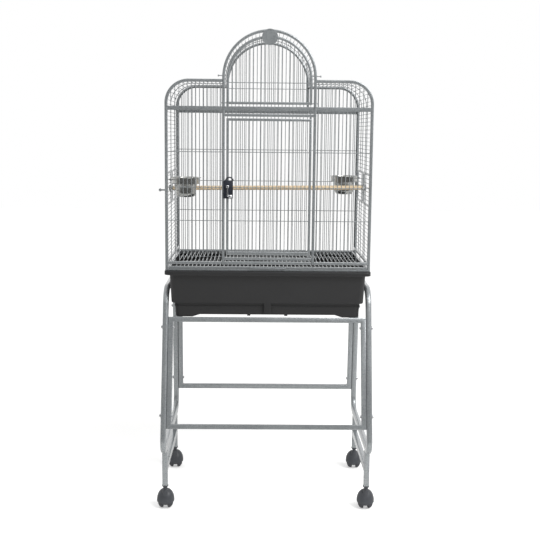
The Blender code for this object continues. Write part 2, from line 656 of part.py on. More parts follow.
def lock():
    """The lock on the door's free stile: a plate, and a lever whose shaft turns a finger behind the hoop."""
    back = FRONT_Y - HOOP_TUBE / 2 - FIT
    front = back - LOCK_PLATE_THICKNESS
    right, top = LOCK_PLATE_LEFT + LOCK_PLATE_WIDTH, LOCK_PLATE_LOW + LOCK_PLATE_HEIGHT
    cut = LOCK_CORNER
    outline = [
        (LOCK_PLATE_LEFT + cut, LOCK_PLATE_LOW), (right - cut, LOCK_PLATE_LOW), (right, LOCK_PLATE_LOW + cut),
        (right, top - cut), (right - cut, top), (LOCK_PLATE_LEFT + cut, top), (LOCK_PLATE_LEFT, top - cut),
        (LOCK_PLATE_LEFT, LOCK_PLATE_LOW + cut),
    ]
    pieces = [plate(in_front_plane(outline, 0), Y_AXIS, front, back)]
    pad = DOOR_TUBE / 2 - FIT
    door_face = FRONT_Y - DOOR_TUBE / 2 - FIT
    pieces.append(
        block((-STILE_X - pad, back - FIT, LOCK_PLATE_LOW + cut), (-STILE_X + pad, door_face, top - cut))
    )
    hole = rod((LEVER_X, front - WIRE, LEVER_LEVEL), (LEVER_X, FRONT_Y, LEVER_LEVEL), LEVER_SHAFT_RADIUS + PIN_CLEARANCE)
    sub_part("lock_plate", LOCK_PAINT, pieces, [hole])

    hub_back = front - FIT
    hub_front = hub_back - LEVER_HUB_LENGTH
    arm_y = hub_back - LEVER_KNOB_RADIUS
    finger_front = FRONT_Y + HOOP_TUBE / 2 + FIT
    finger_back = finger_front + LATCH_FINGER_THICKNESS
    elbow = LEVER_LEVEL - LEVER_ARM_DROP
    knob = (LEVER_X + LEVER_HOOK, arm_y, elbow - LEVER_HOOK / 2)
    pieces = [rod((LEVER_X, hub_front, LEVER_LEVEL), (LEVER_X, hub_back, LEVER_LEVEL), LEVER_HUB_RADIUS, 12)]
    pieces.append(rod((LEVER_X, arm_y, LEVER_LEVEL), (LEVER_X, finger_back, LEVER_LEVEL), LEVER_SHAFT_RADIUS))
    arm = [(LEVER_X, LEVER_LEVEL)] + arc((LEVER_X + LEVER_HOOK / 2, elbow), LEVER_HOOK / 2, 180, 270, 4) + [(knob[0], knob[2])]
    pieces.append(sweep(in_front_plane(arm, arm_y), Y_AXIS, rounded(LEVER_ARM_RADIUS * 2, LEVER_ARM_RADIUS * 2, LEVER_ARM_RADIUS / 2)))
    ball = [(LEVER_KNOB_RADIUS * math.cos(a), LEVER_KNOB_RADIUS * math.sin(a)) for a in (math.radians(d) for d in (-60, -30, 0, 30, 60))]
    ball = [(0, -LEVER_KNOB_RADIUS)] + ball + [(0, LEVER_KNOB_RADIUS)]
    pieces.append(turned(ball, knob, steps=12))
    half = LATCH_FINGER_WIDTH / 2
    pieces.append(
        block((LEVER_X - half, finger_front, LEVER_LEVEL - half), (LEVER_X + half, finger_back, LEVER_LEVEL + LATCH_FINGER_LENGTH))
    )
    sub_part("lock_lever", CHROME, pieces, origin=(LEVER_X, FRONT_Y, LEVER_LEVEL))


def arch_door():
    """The arched door in the dome: it turns down and forward on pins at its bottom corners."""
    outline = [(-STILE_X, ARCH_PIVOT_LEVEL)] + hoop_path(STILE_X, ARCH_PIVOT_LEVEL, ARCH_SPRING)[:-1]
    pieces = [sweep(in_front_plane(outline, FRONT_Y), Y_AXIS, square(DOOR_TUBE), closed=True)]
    wires = []
    for x in grid_lines(-STILE_X + DOOR_TUBE / 2, STILE_X - DOOR_TUBE / 2):
        wires.append(wire((x, FRONT_Y, ARCH_PIVOT_LEVEL), (x, FRONT_Y, arch_height(x, STILE_X, ARCH_SPRING))))
    behind = FRONT_Y + CROSS_OFFSET
    wires.append(wire((-STILE_X, behind, ARCH_CROSS_WIRE_LEVEL), (STILE_X, behind, ARCH_CROSS_WIRE_LEVEL)))
    pieces.append(joined(wires))
    for _, side in SIDES:
        tip = side * (HOOP_OUTER + PIVOT_PIN_REACH)
        pieces.append(rod((side * STILE_X, FRONT_Y, ARCH_PIVOT_LEVEL), (tip, FRONT_Y, ARCH_PIVOT_LEVEL), PIVOT_PIN_RADIUS))
    sub_part("arch_door", STEEL, pieces, origin=(0, FRONT_Y, ARCH_PIVOT_LEVEL))


def arch_disc():
    """The small round plate that hangs on the crown of the arch door."""
    crown = ARCH_SPRING + STILE_X
    back = FRONT_Y - HOOP_TUBE / 2 - FIT
    pieces = [turned(((0, 0), (DISC_RADIUS, 0), (DISC_RADIUS, DISC_THICKNESS), (0, DISC_THICKNESS)),
                     (0, back - DISC_THICKNESS, crown), Y_AXIS, 24)]
    pad = DOOR_TUBE / 2 - FIT
    pieces.append(block((-pad, back - FIT, crown - pad), (pad, FRONT_Y - DOOR_TUBE / 2 - FIT, crown + pad)))
    level = crown + DISC_RADIUS - DISC_HOLE_INSET
    hole = rod((0, back - 2 * DISC_THICKNESS, level), (0, back + DISC_THICKNESS, level), DISC_HOLE_RADIUS)
    sub_part("arch_disc", STEEL, pieces, [hole])


def arch_latch_pins():
    for word, side in SIDES:
        tip = side * (STILE_X + DOOR_TUBE / 2 + FIT)
        end = side * (HOOP_OUTER + ARCH_LATCH_REACH)
        head = end - side * ARCH_LATCH_HEAD_LENGTH
        pieces = [rod((tip, FRONT_Y, ARCH_LATCH_LEVEL), (end, FRONT_Y, ARCH_LATCH_LEVEL), PIVOT_PIN_RADIUS)]
        pieces.append(rod((head, FRONT_Y, ARCH_LATCH_LEVEL), (end + side * FIT, FRONT_Y, ARCH_LATCH_LEVEL), ARCH_LATCH_HEAD_RADIUS))
        sub_part(f"arch_latch_pin_{word}", CHROME, pieces, origin=(tip, FRONT_Y, ARCH_LATCH_LEVEL))


def levels_between(low, high):
    """Evenly spaced bar heights at about the wire pitch, between two rods."""
    count = round((high - low) / WIRE_PITCH)
    return [low + (high - low) * i / count for i in range(1, count)]


def wall_lower(word, side):
    """The side wall under the feeder band: bars from front to back, and two ribs inside them."""
    x = side * CAGE_HALF_WIDTH
    low = BOTTOM_RAIL_LOW + BOTTOM_RAIL_HEIGHT / 2
    corners = ((x, -EDGE_Y, low), (x, EDGE_Y, low), (x, EDGE_Y, WALL_LOWER_TOP), (x, -EDGE_Y, WALL_LOWER_TOP))
    pieces = [sweep(corners, X_AXIS, square(EDGE_WIRE * SQUARE_OF_ROUND), closed=True)]
    half, reach = BOTTOM_RAIL_HEIGHT / 2, EDGE_Y + EDGE_WIRE / 2
    pieces.append(block((x - half, -reach, BOTTOM_RAIL_LOW), (x + half, reach, BOTTOM_RAIL_TOP)))
    half = FRAME_ROD / 2
    pieces.append(block((x - half, -reach, WALL_LOWER_TOP - half), (x + half, reach, WALL_LOWER_TOP + half)))
    bars = [wire((x, -EDGE_Y, level), (x, EDGE_Y, level)) for level in levels_between(BOTTOM_RAIL_TOP, WALL_LOWER_TOP)]
    inner = x - side * CROSS_OFFSET
    for y in (-RIB_Y, RIB_Y):
        bars.append(wire((inner, y, low), (inner, y, WALL_LOWER_TOP)))
    pieces.append(joined(bars))
    sub_part(f"{word}_wall_lower", STEEL, pieces)


def hatch_level(i):
    """The height of a hatch's bar, counted from its lower rod. A half lies midway between two bars."""
    low, high = FEEDER_LOW - HATCH_OVERLAP / 2, FEEDER_HIGH + HATCH_OVERLAP / 2
    return low + (high - low) * i / HATCH_BAR_COUNT


def ring_seat():
    """The top of a bowl's ring, where the bowl's flange rests."""
    return hatch_level(RING_BAR) + RING_LIP


def eye(x, y, level):
    """The ring of a hinge eye, which a hatch's rod turns in."""
    low, high = level - EYE_HEIGHT / 2, level + EYE_HEIGHT / 2
    bore = HINGE_ROD_RADIUS + PIN_CLEARANCE
    return turned(((bore, low), (EYE_RADIUS, low), (EYE_RADIUS, high), (bore, high)), (x, y, 0), steps=EYE_STEPS)


def feeder_frame(word, side, end):
    """The band with a feeder opening at one end and bars at the other, and the eyes that the hatch turns in."""
    x = side * CAGE_HALF_WIDTH
    corners = ((x, -EDGE_Y, FEEDER_LOW), (x, EDGE_Y, FEEDER_LOW), (x, EDGE_Y, FEEDER_HIGH), (x, -EDGE_Y, FEEDER_HIGH))
    pieces = [sweep(corners, X_AXIS, square(EDGE_WIRE, FRAME_ROD), closed=True)]
    half, tall = HINGE_BAR_THICKNESS / 2, FRAME_ROD / 4
    pieces.append(
        block((x - half, -HINGE_BAR_HALF_WIDTH, FEEDER_LOW - tall), (x + half, HINGE_BAR_HALF_WIDTH, FEEDER_HIGH + tall))
    )
    pieces.append(wire((x, end * FEEDER_FAR, FEEDER_LOW), (x, end * FEEDER_FAR, FEEDER_HIGH), FRAME_ROD))
    bars = []
    for level in levels_between(FEEDER_LOW, FEEDER_HIGH):
        bars.append(wire((x, end * FEEDER_FAR, level), (x, end * EDGE_Y, level)))
        bars.append(wire((x, end * (WIRE - HINGE_BAR_HALF_WIDTH), level), (x, -end * EDGE_Y, level)))
    inner = x - side * CROSS_OFFSET
    bars.append(wire((inner, -end * RIB_Y, FEEDER_LOW), (inner, -end * RIB_Y, FEEDER_HIGH)))
    pieces.append(joined(bars))
    for level in (hatch_level(EYE_BAY), hatch_level(HATCH_BAR_COUNT - EYE_BAY)):
        pieces.append(eye(side * HATCH_PLANE, end * HINGE_Y, level))
        tall = EYE_HEIGHT / 2
        near = end * (HINGE_BAR_HALF_WIDTH - WIRE)
        far = end * (HINGE_Y - HINGE_ROD_RADIUS - WIRE / 2)
        pieces.append(
            block(
                (min(x, side * (HATCH_PLANE + WIRE / 2)), min(near, far), level - tall),
                (max(x, side * (HATCH_PLANE + WIRE / 2)), max(near, far), level + tall),
            )
        )
    hole = rod(
        (x - HINGE_BAR_THICKNESS, 0, PERCH_LEVEL), (x + HINGE_BAR_THICKNESS, 0, PERCH_LEVEL),
        PERCH_BOLT_RADIUS + PIN_CLEARANCE,
    )
    sub_part(f"{word}_feeder_frame", STEEL, pieces, [hole])


def feeder_door(place, word, side, end):
    """A hatch that swings out with its bowl: a rod frame, bars and a latch tab."""
    x = side * HATCH_PLANE
    near, far = end * HINGE_Y, end * (FEEDER_FAR + HATCH_OVERLAP)
    low, high = hatch_level(0), hatch_level(HATCH_BAR_COUNT)
    thick = EDGE_WIRE * SQUARE_OF_ROUND
    frame = [(x, near, high), (x, far, high), (x, far, low), (x, near, low)]
    pieces = [sweep(frame, X_AXIS, square(thick))]
    pieces.append(rod((x, near, low - thick / 2), (x, near, high + thick / 2), HINGE_ROD_RADIUS))
    bars = []
    for i in range(1, HATCH_BAR_COUNT):
        bars.append(wire((x, near, hatch_level(i)), (x, far, hatch_level(i))))
    pieces.append(joined(bars))
    tip = side * (HATCH_PLANE + LATCH_TAB_REACH)
    tall = LATCH_TAB_HEIGHT / 2
    half = LATCH_TAB_THICKNESS / 2
    pieces.append(
        block(
            (min(x, tip), far - half, LATCH_TAB_LEVEL - tall),
            (max(x, tip), far + half, LATCH_TAB_LEVEL + tall),
        )
    )
    sub_part(f"{place}_{word}_feeder_door", STEEL, pieces, origin=(x, near, low))


def bowl_ring(place, word, side, end):
    """The band that holds a bowl, on a strut from one of the hatch's bars."""
    top = ring_seat()
    low = top - RING_BAND
    band = ((RING_INNER_RADIUS, low), (RING_OUTER_RADIUS, low), (RING_OUTER_RADIUS, top), (RING_INNER_RADIUS, top))
    pieces = [turned(band, (side * RING_X, end * RING_Y, 0), steps=ROUND_STEPS)]
    start = side * (RING_X + RING_INNER_RADIUS + RING_THICKNESS / 2)
    stop = side * (HATCH_PLANE - WIRE * SQUARE_OF_ROUND / 2 - FIT)
    half, y, level = RING_STRUT / 2, end * RING_Y, hatch_level(RING_BAR)
    pieces.append(block((min(start, stop), y - half, level - half), (max(start, stop), y + half, level + half)))
    sub_part(f"{place}_{word}_bowl_ring", STEEL, pieces, origin=(side * RING_X, end * RING_Y, top))


def bowl(place, word, side, end):
    """A stainless bowl whose flange rests on its ring."""
    seat = ring_seat() + FIT
    top = seat + BOWL_FLANGE_THICKNESS
    bottom = top - BOWL_HEIGHT
    waist = seat - BOWL_WAIST_DROP
    waist_radius = BOWL_TOP_RADIUS - BOWL_WAIST_INSET
    base_radius = BOWL_TOP_RADIUS - BOWL_BASE_INSET
    profile = (
        (0, bottom), (base_radius, bottom), (waist_radius, waist), (BOWL_TOP_RADIUS, seat),
        (BOWL_FLANGE_RADIUS, seat), (BOWL_FLANGE_RADIUS, top), (BOWL_TOP_RADIUS - BOWL_WALL, top),
        (waist_radius - BOWL_WALL, waist), (base_radius - BOWL_WALL, bottom + BOWL_WALL), (0, bottom + BOWL_WALL),
    )
    piece = turned(profile, (side * RING_X, end * RING_Y, 0), steps=ROUND_STEPS)
    sub_part(f"{place}_{word}_bowl", STAINLESS, [piece], origin=(side * RING_X, end * RING_Y, seat))


def upper_panel(word, side):
    """The wall over the feeders, the shoulder and the roof as one bent panel of bars."""
    low = UPPER_PANEL_LOW
    roof_end = HOOP_HALF_WIDTH + FRAME_ROD + FIT
    normal = Y_AXIS
    edge = shoulder_path(side, low, roof_end)
    pieces = []
    for y in (-EDGE_Y, EDGE_Y):
        pieces.append(sweep(in_front_plane(edge, y), normal, square(EDGE_WIRE * SQUARE_OF_ROUND)))
    rib = shoulder_path(side, low, roof_end, CROSS_OFFSET)
    for y in (-RIB_Y, RIB_Y):
        pieces.append(sweep(in_front_plane(rib, y), normal, square(WIRE * SQUARE_OF_ROUND)))
    half, reach = FRAME_ROD / 2, EDGE_Y + EDGE_WIRE / 2
    for x, level in ((side * CAGE_HALF_WIDTH, low), (side * roof_end, ROOF_LEVEL)):
        pieces.append(block((x - half, -reach, level - half), (x + half, reach, level + half)))
    pieces.append(joined([long_bar(point, along) for point, along in places_along(edge)]))
    sub_part(f"{word}_upper_panel", STEEL, pieces)


def places_along(path):
    """Evenly spaced places at about the wire pitch along a path of (across, up) points, with its direction there."""
    points = [Vector(point) for point in path]
    lengths = [(b - a).length for a, b in zip(points, points[1:])]
    count = round(sum(lengths) / WIRE_PITCH)
    for i in range(1, count):
        left = sum(lengths) * i / count
        for start, end, length in zip(points, points[1:], lengths):
            if left <= length:
                yield start.lerp(end, left / length), (end - start).normalized()
                break
            left -= length


def long_bar(point, along):
    """A bar from front to back with a flat of it along the curve that it lies on."""
    ends = ((point.x, -EDGE_Y, point.y), (point.x, EDGE_Y, point.y))
    return sweep(ends, (along.x, 0, along.y), square(WIRE * SQUARE_OF_ROUND))


def vault():
    """The half-round roof between the front and rear hoops."""
    low = ROOF_LEVEL
    pieces = []
    size = EDGE_WIRE * SQUARE_OF_ROUND
    for y in (-EDGE_Y, EDGE_Y):
        pieces.append(sweep(in_front_plane(hoop_path(HOOP_HALF_WIDTH, low, HOOP_SPRING), y), Y_AXIS, square(size)))
    for y in (-RIB_Y, RIB_Y):
        rib = hoop_path(HOOP_HALF_WIDTH - CROSS_OFFSET, low, HOOP_SPRING)
        pieces.append(sweep(in_front_plane(rib, y), Y_AXIS, square(WIRE * SQUARE_OF_ROUND)))
    half, reach = FRAME_ROD / 2, EDGE_Y + EDGE_WIRE / 2
    for _, side in SIDES:
        x = side * HOOP_HALF_WIDTH
        pieces.append(block((x - half, -reach, low - half), (x + half, reach, low + half)))
    arch = hoop_path(HOOP_HALF_WIDTH, low, HOOP_SPRING)
    pieces.append(joined([long_bar(point, along) for point, along in places_along(arch)]))
    sub_part("vault", STEEL, pieces)


def base_frame():
    """The flat frame that the posts stand on, over the basin's rim."""
    half_x = CAGE_HALF_WIDTH + POST_TUBE / 2 - BASE_FRAME_WIDTH / 2
    half_y = CAGE_HALF_DEPTH + POST_TUBE / 2 - BASE_FRAME_WIDTH / 2
    level = BASE_FRAME_BOTTOM + BASE_FRAME_HEIGHT / 2
    corners = ((-half_x, -half_y, level), (half_x, -half_y, level), (half_x, half_y, level), (-half_x, half_y, level))
    sub_part("base_frame", STEEL, [sweep(corners, Z_AXIS, square(BASE_FRAME_WIDTH, BASE_FRAME_HEIGHT), closed=True)])


def floor_grille():
    """The wire floor that pulls out at the front between the posts."""
    half_x = CAGE_HALF_WIDTH - POST_TUBE / 2 - GRILLE_SIDE_CLEARANCE - GRILLE_BAR_WIDTH / 2
    front = FRONT_Y - POST_TUBE / 2 + GRILLE_BAR_WIDTH / 2
    rear = EDGE_Y - GRILLE_BAR_WIDTH / 2
    low = BASE_FRAME_TOP + FIT
    level = low + GRILLE_BAR_HEIGHT / 2
    corners = ((-half_x, front, level), (half_x, front, level), (half_x, rear, level), (-half_x, rear, level))
    pieces = [sweep(corners, Z_AXIS, square(GRILLE_BAR_WIDTH, GRILLE_BAR_HEIGHT), closed=True)]
    inner = GRILLE_BAR_WIDTH / 2
    wires = [wire((-half_x, y, level), (half_x, y, level)) for y in grid_lines(front + inner, rear - inner)]
    under = level - CROSS_OFFSET
    for x in (-CAGE_HALF_WIDTH / 3, CAGE_HALF_WIDTH / 3):
        wires.append(wire((x, front, under), (x, rear, under)))
    pieces.append(joined(wires))
    half = GRILLE_PULL_WIDTH / 2
    face = front - GRILLE_BAR_WIDTH / 4
    grip = face - GRILLE_PULL_REACH
    pull = ((-half, face, level), (-half, grip, level), (half, grip, level), (half, face, level))
    pieces.append(sweep(pull, Z_AXIS, square(WIRE)))
    sub_part("floor_grille", STEEL, pieces, origin=(0, front, level))


def basin_ring(half_x, half_y, level, corner):
    """One level of the basin, a rectangle with round corners."""
    points = []
    for centre_x, centre_y, start in ((1, 1, 0), (-1, 1, 90), (-1, -1, 180), (1, -1, 270)):
        middle = (centre_x * (half_x - corner), centre_y * (half_y - corner))
        points += arc(middle, corner, start, start + 90, BASIN_CORNER_STEPS)
    return [(x, y, level) for x, y in points]


def loft(levels, closed_loop):
    """Skins a stack of rings. A closed loop joins the last ring to the first, and otherwise both ends are capped."""
    mesh = bmesh.new()
    rings = [[mesh.verts.new(point) for point in ring] for ring in levels]
    pairs = list(zip(rings, rings[1:]))
    if closed_loop:
        pairs.append((rings[-1], rings[0]))
    for here, there in pairs:
        for i in range(len(here)):
            k = (i + 1) % len(here)
            mesh.faces.new((here[i], here[k], there[k], there[i]))
    if not closed_loop:
        mesh.faces.new(rings[0])
        mesh.faces.new(rings[-1])
    return shape(mesh)


def basin():
    """The deep moulded tray: rim, tapered body, stepped-in lower tier, corner feet and a middle rib."""
    body_x, body_y = BASIN_BODY_HALF_WIDTH, BASIN_BODY_HALF_DEPTH
    tier_x, tier_y = BASIN_TIER_HALF_WIDTH, BASIN_TIER_HALF_DEPTH
    step, taper = BASIN_STEP_INSET, BASIN_TIER_TAPER
    bottom = BASIN_FOOT_LEVEL
    floor = bottom + BASIN_FOOT_HEIGHT + BASIN_WALL
    wall, corner = BASIN_WALL, BASIN_CORNER
    outer = [
        (BASIN_RIM_HALF_WIDTH, BASIN_RIM_HALF_DEPTH, BASIN_TOP),
        (BASIN_RIM_HALF_WIDTH, BASIN_RIM_HALF_DEPTH, BASIN_RIM_LOW),
        (body_x, body_y, BASIN_RIM_LOW), (body_x - step, body_y - step, BASIN_STEP_LEVEL),
        (tier_x, tier_y, BASIN_STEP_LEVEL - wall), (tier_x - taper, tier_y - taper, bottom),
    ]
    inner = [
        (tier_x - taper - wall, tier_y - taper - wall, floor), (tier_x - wall, tier_y - wall, BASIN_STEP_LEVEL),
        (body_x - step - wall, body_y - step - wall, BASIN_STEP_LEVEL + wall), (body_x - wall, body_y - wall, BASIN_TOP),
    ]
    rings = [basin_ring(x, y, z, corner) for x, y, z in outer]
    solid = loft(rings, closed_loop=False)
    cavity = [basin_ring(x, y, z, corner - wall) for x, y, z in inner]
    over = [(x, y, z + BASIN_RIM_HEIGHT) for x, y, z in cavity[-1]]
    holes = [loft(cavity + [over], closed_loop=False)]
    foot_top = bottom + BASIN_FOOT_HEIGHT
    for half, reach, axis in ((tier_x, tier_y, Y_AXIS), (tier_y, tier_x, X_AXIS)):
        wide = half - taper - BASIN_FOOT_WIDTH
        outline = ((-wide, bottom - wall), (wide, bottom - wall), (wide - BASIN_FOOT_SLANT, foot_top), (BASIN_FOOT_SLANT - wide, foot_top))
        span = reach + wall
        points = [(0, u, v) if axis is X_AXIS else (u, 0, v) for u, v in outline]
        holes.append(plate(points, axis, -span, span))
    rib_high = BASIN_STEP_LEVEL
    half = BASIN_RIB_WIDTH / 2
    ribs = []
    for _, end in ENDS:
        face = end * (tier_y - taper - wall / 2)
        front = end * (tier_y - taper + BASIN_RIB_DEPTH)
        ribs.append(block((-half, min(face, front), foot_top + wall), (half, max(face, front), rib_high)))
    sub_part("basin", PLASTIC, [solid] + ribs, holes)


def leg_y(z, end):
    """The middle of a stand leg at a height, front or rear."""
    top_y, low_y = (FRONT_TOP_Y, FRONT_LOW_Y) if end < 0 else (REAR_TOP_Y, REAR_LOW_Y)
    return low_y + (top_y - low_y) * (z - LOWER_BAR_LEVEL) / (top_bar_level(end) - LOWER_BAR_LEVEL)


def top_bar_level(end):
    """The middle of the top bar, so that the edge of the tilted tube reaches the stand's top."""
    top_y, low_y = (FRONT_TOP_Y, FRONT_LOW_Y) if end < 0 else (REAR_TOP_Y, REAR_LOW_Y)
    lean = math.atan2(abs(top_y - low_y), STAND_TOP - LOWER_BAR_LEVEL)
    return STAND_TOP - FRAME_TUBE / 2 * (math.cos(lean) + math.sin(lean))


def bolt_places():
    for place, end in ENDS:
        for height, level in (("upper", UPPER_BOLT_LEVEL), ("lower", LOWER_BOLT_LEVEL)):
            yield place, height, leg_y(level, end), level


def bolt_holes(side):
    """Holes through one side's hoop and frame tubes."""
    inner = side * (FRAME_HALF_WIDTH - 2 * FRAME_TUBE)
    outer = side * (HOOP_X + HOOP_BAND_WIDTH)
    radius = STAND_BOLT_RADIUS + PIN_CLEARANCE
    return [(end_word, rod((inner, y, z), (outer, y, z), radius)) for end_word, _, y, z in bolt_places()]


def stand_frame(place, end):
    half = FRAME_HALF_WIDTH - FRAME_TUBE / 2
    top = top_bar_level(end)
    corners = [
        Vector((-half, leg_y(LOWER_BAR_LEVEL, end), LOWER_BAR_LEVEL)), Vector((half, leg_y(LOWER_BAR_LEVEL, end), LOWER_BAR_LEVEL)),
        Vector((half, leg_y(top, end), top)), Vector((-half, leg_y(top, end), top)),
    ]
    normal = (corners[1] - corners[0]).cross(corners[2] - corners[1])
    holes = []
    for _, side in SIDES:
        for end_word, hole in bolt_holes(side):
            if end_word == place:
                holes.append(hole)
            else:
                bpy.data.objects.remove(hole, do_unlink=True)
    sub_part(f"stand_{place}_frame", STEEL, [sweep(corners, normal, square(FRAME_TUBE), closed=True)], holes)


def side_hoop(word, side):
    """The closed side hoop of bent oval tube that both stand frames bolt to."""
    top = SIDE_HOOP_TOP - HOOP_BAND_DEPTH / 2
    low = SIDE_HOOP_BOTTOM + HOOP_BAND_DEPTH / 2
    corners = ((leg_y(low, -1), low), (leg_y(low, 1), low), (leg_y(top, 1), top), (leg_y(top, -1), top))
    path = [(side * HOOP_X, y, z) for y, z in rounded_path(corners, HOOP_BEND_RADII, HOOP_BEND_STEPS)]
    section = rounded(HOOP_BAND_DEPTH, HOOP_BAND_WIDTH, HOOP_BAND_ROUND)
    holes = [hole for _, hole in bolt_holes(side)]
    sub_part(f"{word}_hoop", STEEL, [sweep(path, X_AXIS, section, closed=True)], holes)


def stand_bolts():
    for word, side in SIDES:
        for place, height, y, z in bolt_places():
            outer = FRAME_HALF_WIDTH + FIT + HOOP_BAND_WIDTH + FIT
            inner = FRAME_HALF_WIDTH - FRAME_TUBE - FIT
            head = side * (outer + STAND_BOLT_HEAD_HEIGHT)
            nut = side * (inner - STAND_NUT_HEIGHT)
            pieces = [rod((side * outer, y, z), (head, y, z), STAND_BOLT_HEAD_RADIUS, 10)]
            pieces.append(rod((side * (outer + FIT), y, z), (nut, y, z), STAND_BOLT_RADIUS, 6))
            pieces.append(rod((side * inner, y, z), (side * (inner - STAND_NUT_HEIGHT) + side * FIT, y, z), STAND_NUT_RADIUS, 6))
            sub_part(f"{place}_{word}_{height}_bolt", CHROME, pieces, origin=(side * outer, y, z))


def foot(word, side):
    """The foot under a side hoop: two legs and a stretcher, bored for the castor stems."""
    x, half = side * HOOP_X, FOOT_TUBE / 2
    top = SIDE_HOOP_BOTTOM - FIT
    pieces, holes = [], []
    for y in (FOOT_FRONT_Y, FOOT_REAR_Y):
        pieces.append(block((x - half, y - half, FOOT_BOTTOM), (x + half, y + half, top)))
        holes.append(
            rod((x, y, FOOT_BOTTOM - WIRE), (x, y, FOOT_BOTTOM + STEM_LENGTH + FIT), bore_radius(STEM_RADIUS))
        )
    inset = FIT
    pieces.append(
        block(
            (x - half + inset, FOOT_FRONT_Y, STRETCHER_LOW),
            (x + half - inset, FOOT_REAR_Y, STRETCHER_LOW + STRETCHER_HEIGHT),
        )
    )
    sub_part(f"{word}_foot", STEEL, pieces, holes)


def caster(place, y, word, side):
    """A hooded twin-wheel castor: the hood with its stem turns in the foot, and the wheels on their axle in the hood."""
    x = side * HOOP_X
    axle_y, axle_z = y + CASTER_TRAIL, WHEEL_RADIUS
    base = FOOT_BOTTOM - FIT
    hood = arc((axle_y, axle_z), HOOD_RADIUS, 0, 180, HOOD_STEPS)
    solid = plate([(0, u, v) for u, v in hood], X_AXIS, x - HOOD_HALF_WIDTH, x + HOOD_HALF_WIDTH)
    shoulder = HOOD_RADIUS * 0.75
    top = ((y - shoulder / 2, HOOD_TOP), (y + shoulder, HOOD_TOP), (axle_y + HOOD_RADIUS - WIRE, axle_z + WIRE), (axle_y - HOOD_RADIUS + WIRE, axle_z + WIRE))
    step = plate([(0, u, v) for u, v in top], X_AXIS, x - HOOD_STEP_HALF_WIDTH, x + HOOD_STEP_HALF_WIDTH)
    collar = rod((x, y, HOOD_TOP - WIRE), (x, y, base), COLLAR_RADIUS, 12)
    stem = rod((x, y, HOOD_TOP - WIRE), (x, y, FOOT_BOTTOM + STEM_LENGTH), STEM_RADIUS, 8)
    holes = []
    web = WHEEL_GAP / 2 - FIT
    well_radius = WHEEL_RADIUS + HOOD_CLEARANCE
    for way in (-1, 1):
        near = x + way * web
        far = x + way * (WHEEL_GAP / 2 + WHEEL_WIDTH + FIT)
        well = [(axle_y + well_radius, axle_z - well_radius)] + arc((axle_y, axle_z), well_radius, 0, 180, HOOD_STEPS)
        well.append((axle_y - well_radius, axle_z - well_radius))
        holes.append(plate([(0, u, v) for u, v in well], X_AXIS, min(near, far), max(near, far)))
    reach = WHEEL_GAP
    holes.append(rod((x - reach, axle_y, axle_z), (x + reach, axle_y, axle_z), AXLE_RADIUS + PIN_CLEARANCE))
    web_low = arc((axle_y, axle_z), WHEEL_GAP / 2, 0, -180, 6)
    nose = plate([(0, u, v) for u, v in web_low], X_AXIS, x - web, x + web)
    sub_part(f"{place}_{word}_caster_hood", CASTOR, [solid, step, collar, stem, nose], holes, origin=(x, y, HOOD_TOP))

    half, edge = WHEEL_GAP / 2, WHEEL_EDGE
    pieces = []
    flat = math.pi / WHEEL_STEPS
    tread = WHEEL_RADIUS / math.cos(flat)
    for way in (-1, 1):
        profile = (
            (0, half), (tread, half), (tread, half + WHEEL_WIDTH - edge),
            (tread - edge, half + WHEEL_WIDTH), (0, half + WHEEL_WIDTH),
        )
        pieces.append(turned(profile, (x, axle_y, axle_z), X_AXIS * way, WHEEL_STEPS, flat))
    pieces.append(rod((x - half - edge, axle_y, axle_z), (x + half + edge, axle_y, axle_z), AXLE_RADIUS))
    sub_part(f"{place}_{word}_wheels", TREAD, pieces, origin=(x, axle_y, axle_z))


def perch():
    half = CAGE_HALF_WIDTH - HINGE_BAR_THICKNESS / 2 - FIT
    holes = []
    for _, side in SIDES:
        start = side * (half - PERCH_BOLT_DEPTH)
        holes.append(rod((start, 0, PERCH_LEVEL), (side * (half + WIRE), 0, PERCH_LEVEL), PERCH_BOLT_RADIUS + PIN_CLEARANCE))
    dowel = rod((-half, 0, PERCH_LEVEL), (half, 0, PERCH_LEVEL), PERCH_RADIUS, 20)
    sub_part("perch", WOOD, [dowel], holes, origin=(0, 0, PERCH_LEVEL))
    for word, side in SIDES:
        seat = side * (CAGE_HALF_WIDTH + HINGE_BAR_THICKNESS / 2 + FIT)
        end = seat + side * WING_NUT_LENGTH
        tip = side * (half - PERCH_BOLT_DEPTH + WIRE)
        pieces = [rod((seat, 0, PERCH_LEVEL), (end, 0, PERCH_LEVEL), WING_NUT_RADIUS, 12)]
        pieces.append(rod((tip, 0, PERCH_LEVEL), (seat + side * FIT, 0, PERCH_LEVEL), PERCH_BOLT_RADIUS))
        half_wing = WING_THICKNESS / 2
        wing_start = seat + side * WING_NUT_LENGTH / 3
        wing_end = end + side * WING_THICKNESS
        pieces.append(
            block(
                (min(wing_start, wing_end), -half_wing, PERCH_LEVEL - WING_LENGTH),
                (max(wing_start, wing_end), half_wing, PERCH_LEVEL + WING_LENGTH),
            )
        )
        sub_part(f"perch_bolt_{word}", CHROME, pieces, origin=(seat, 0, PERCH_LEVEL))


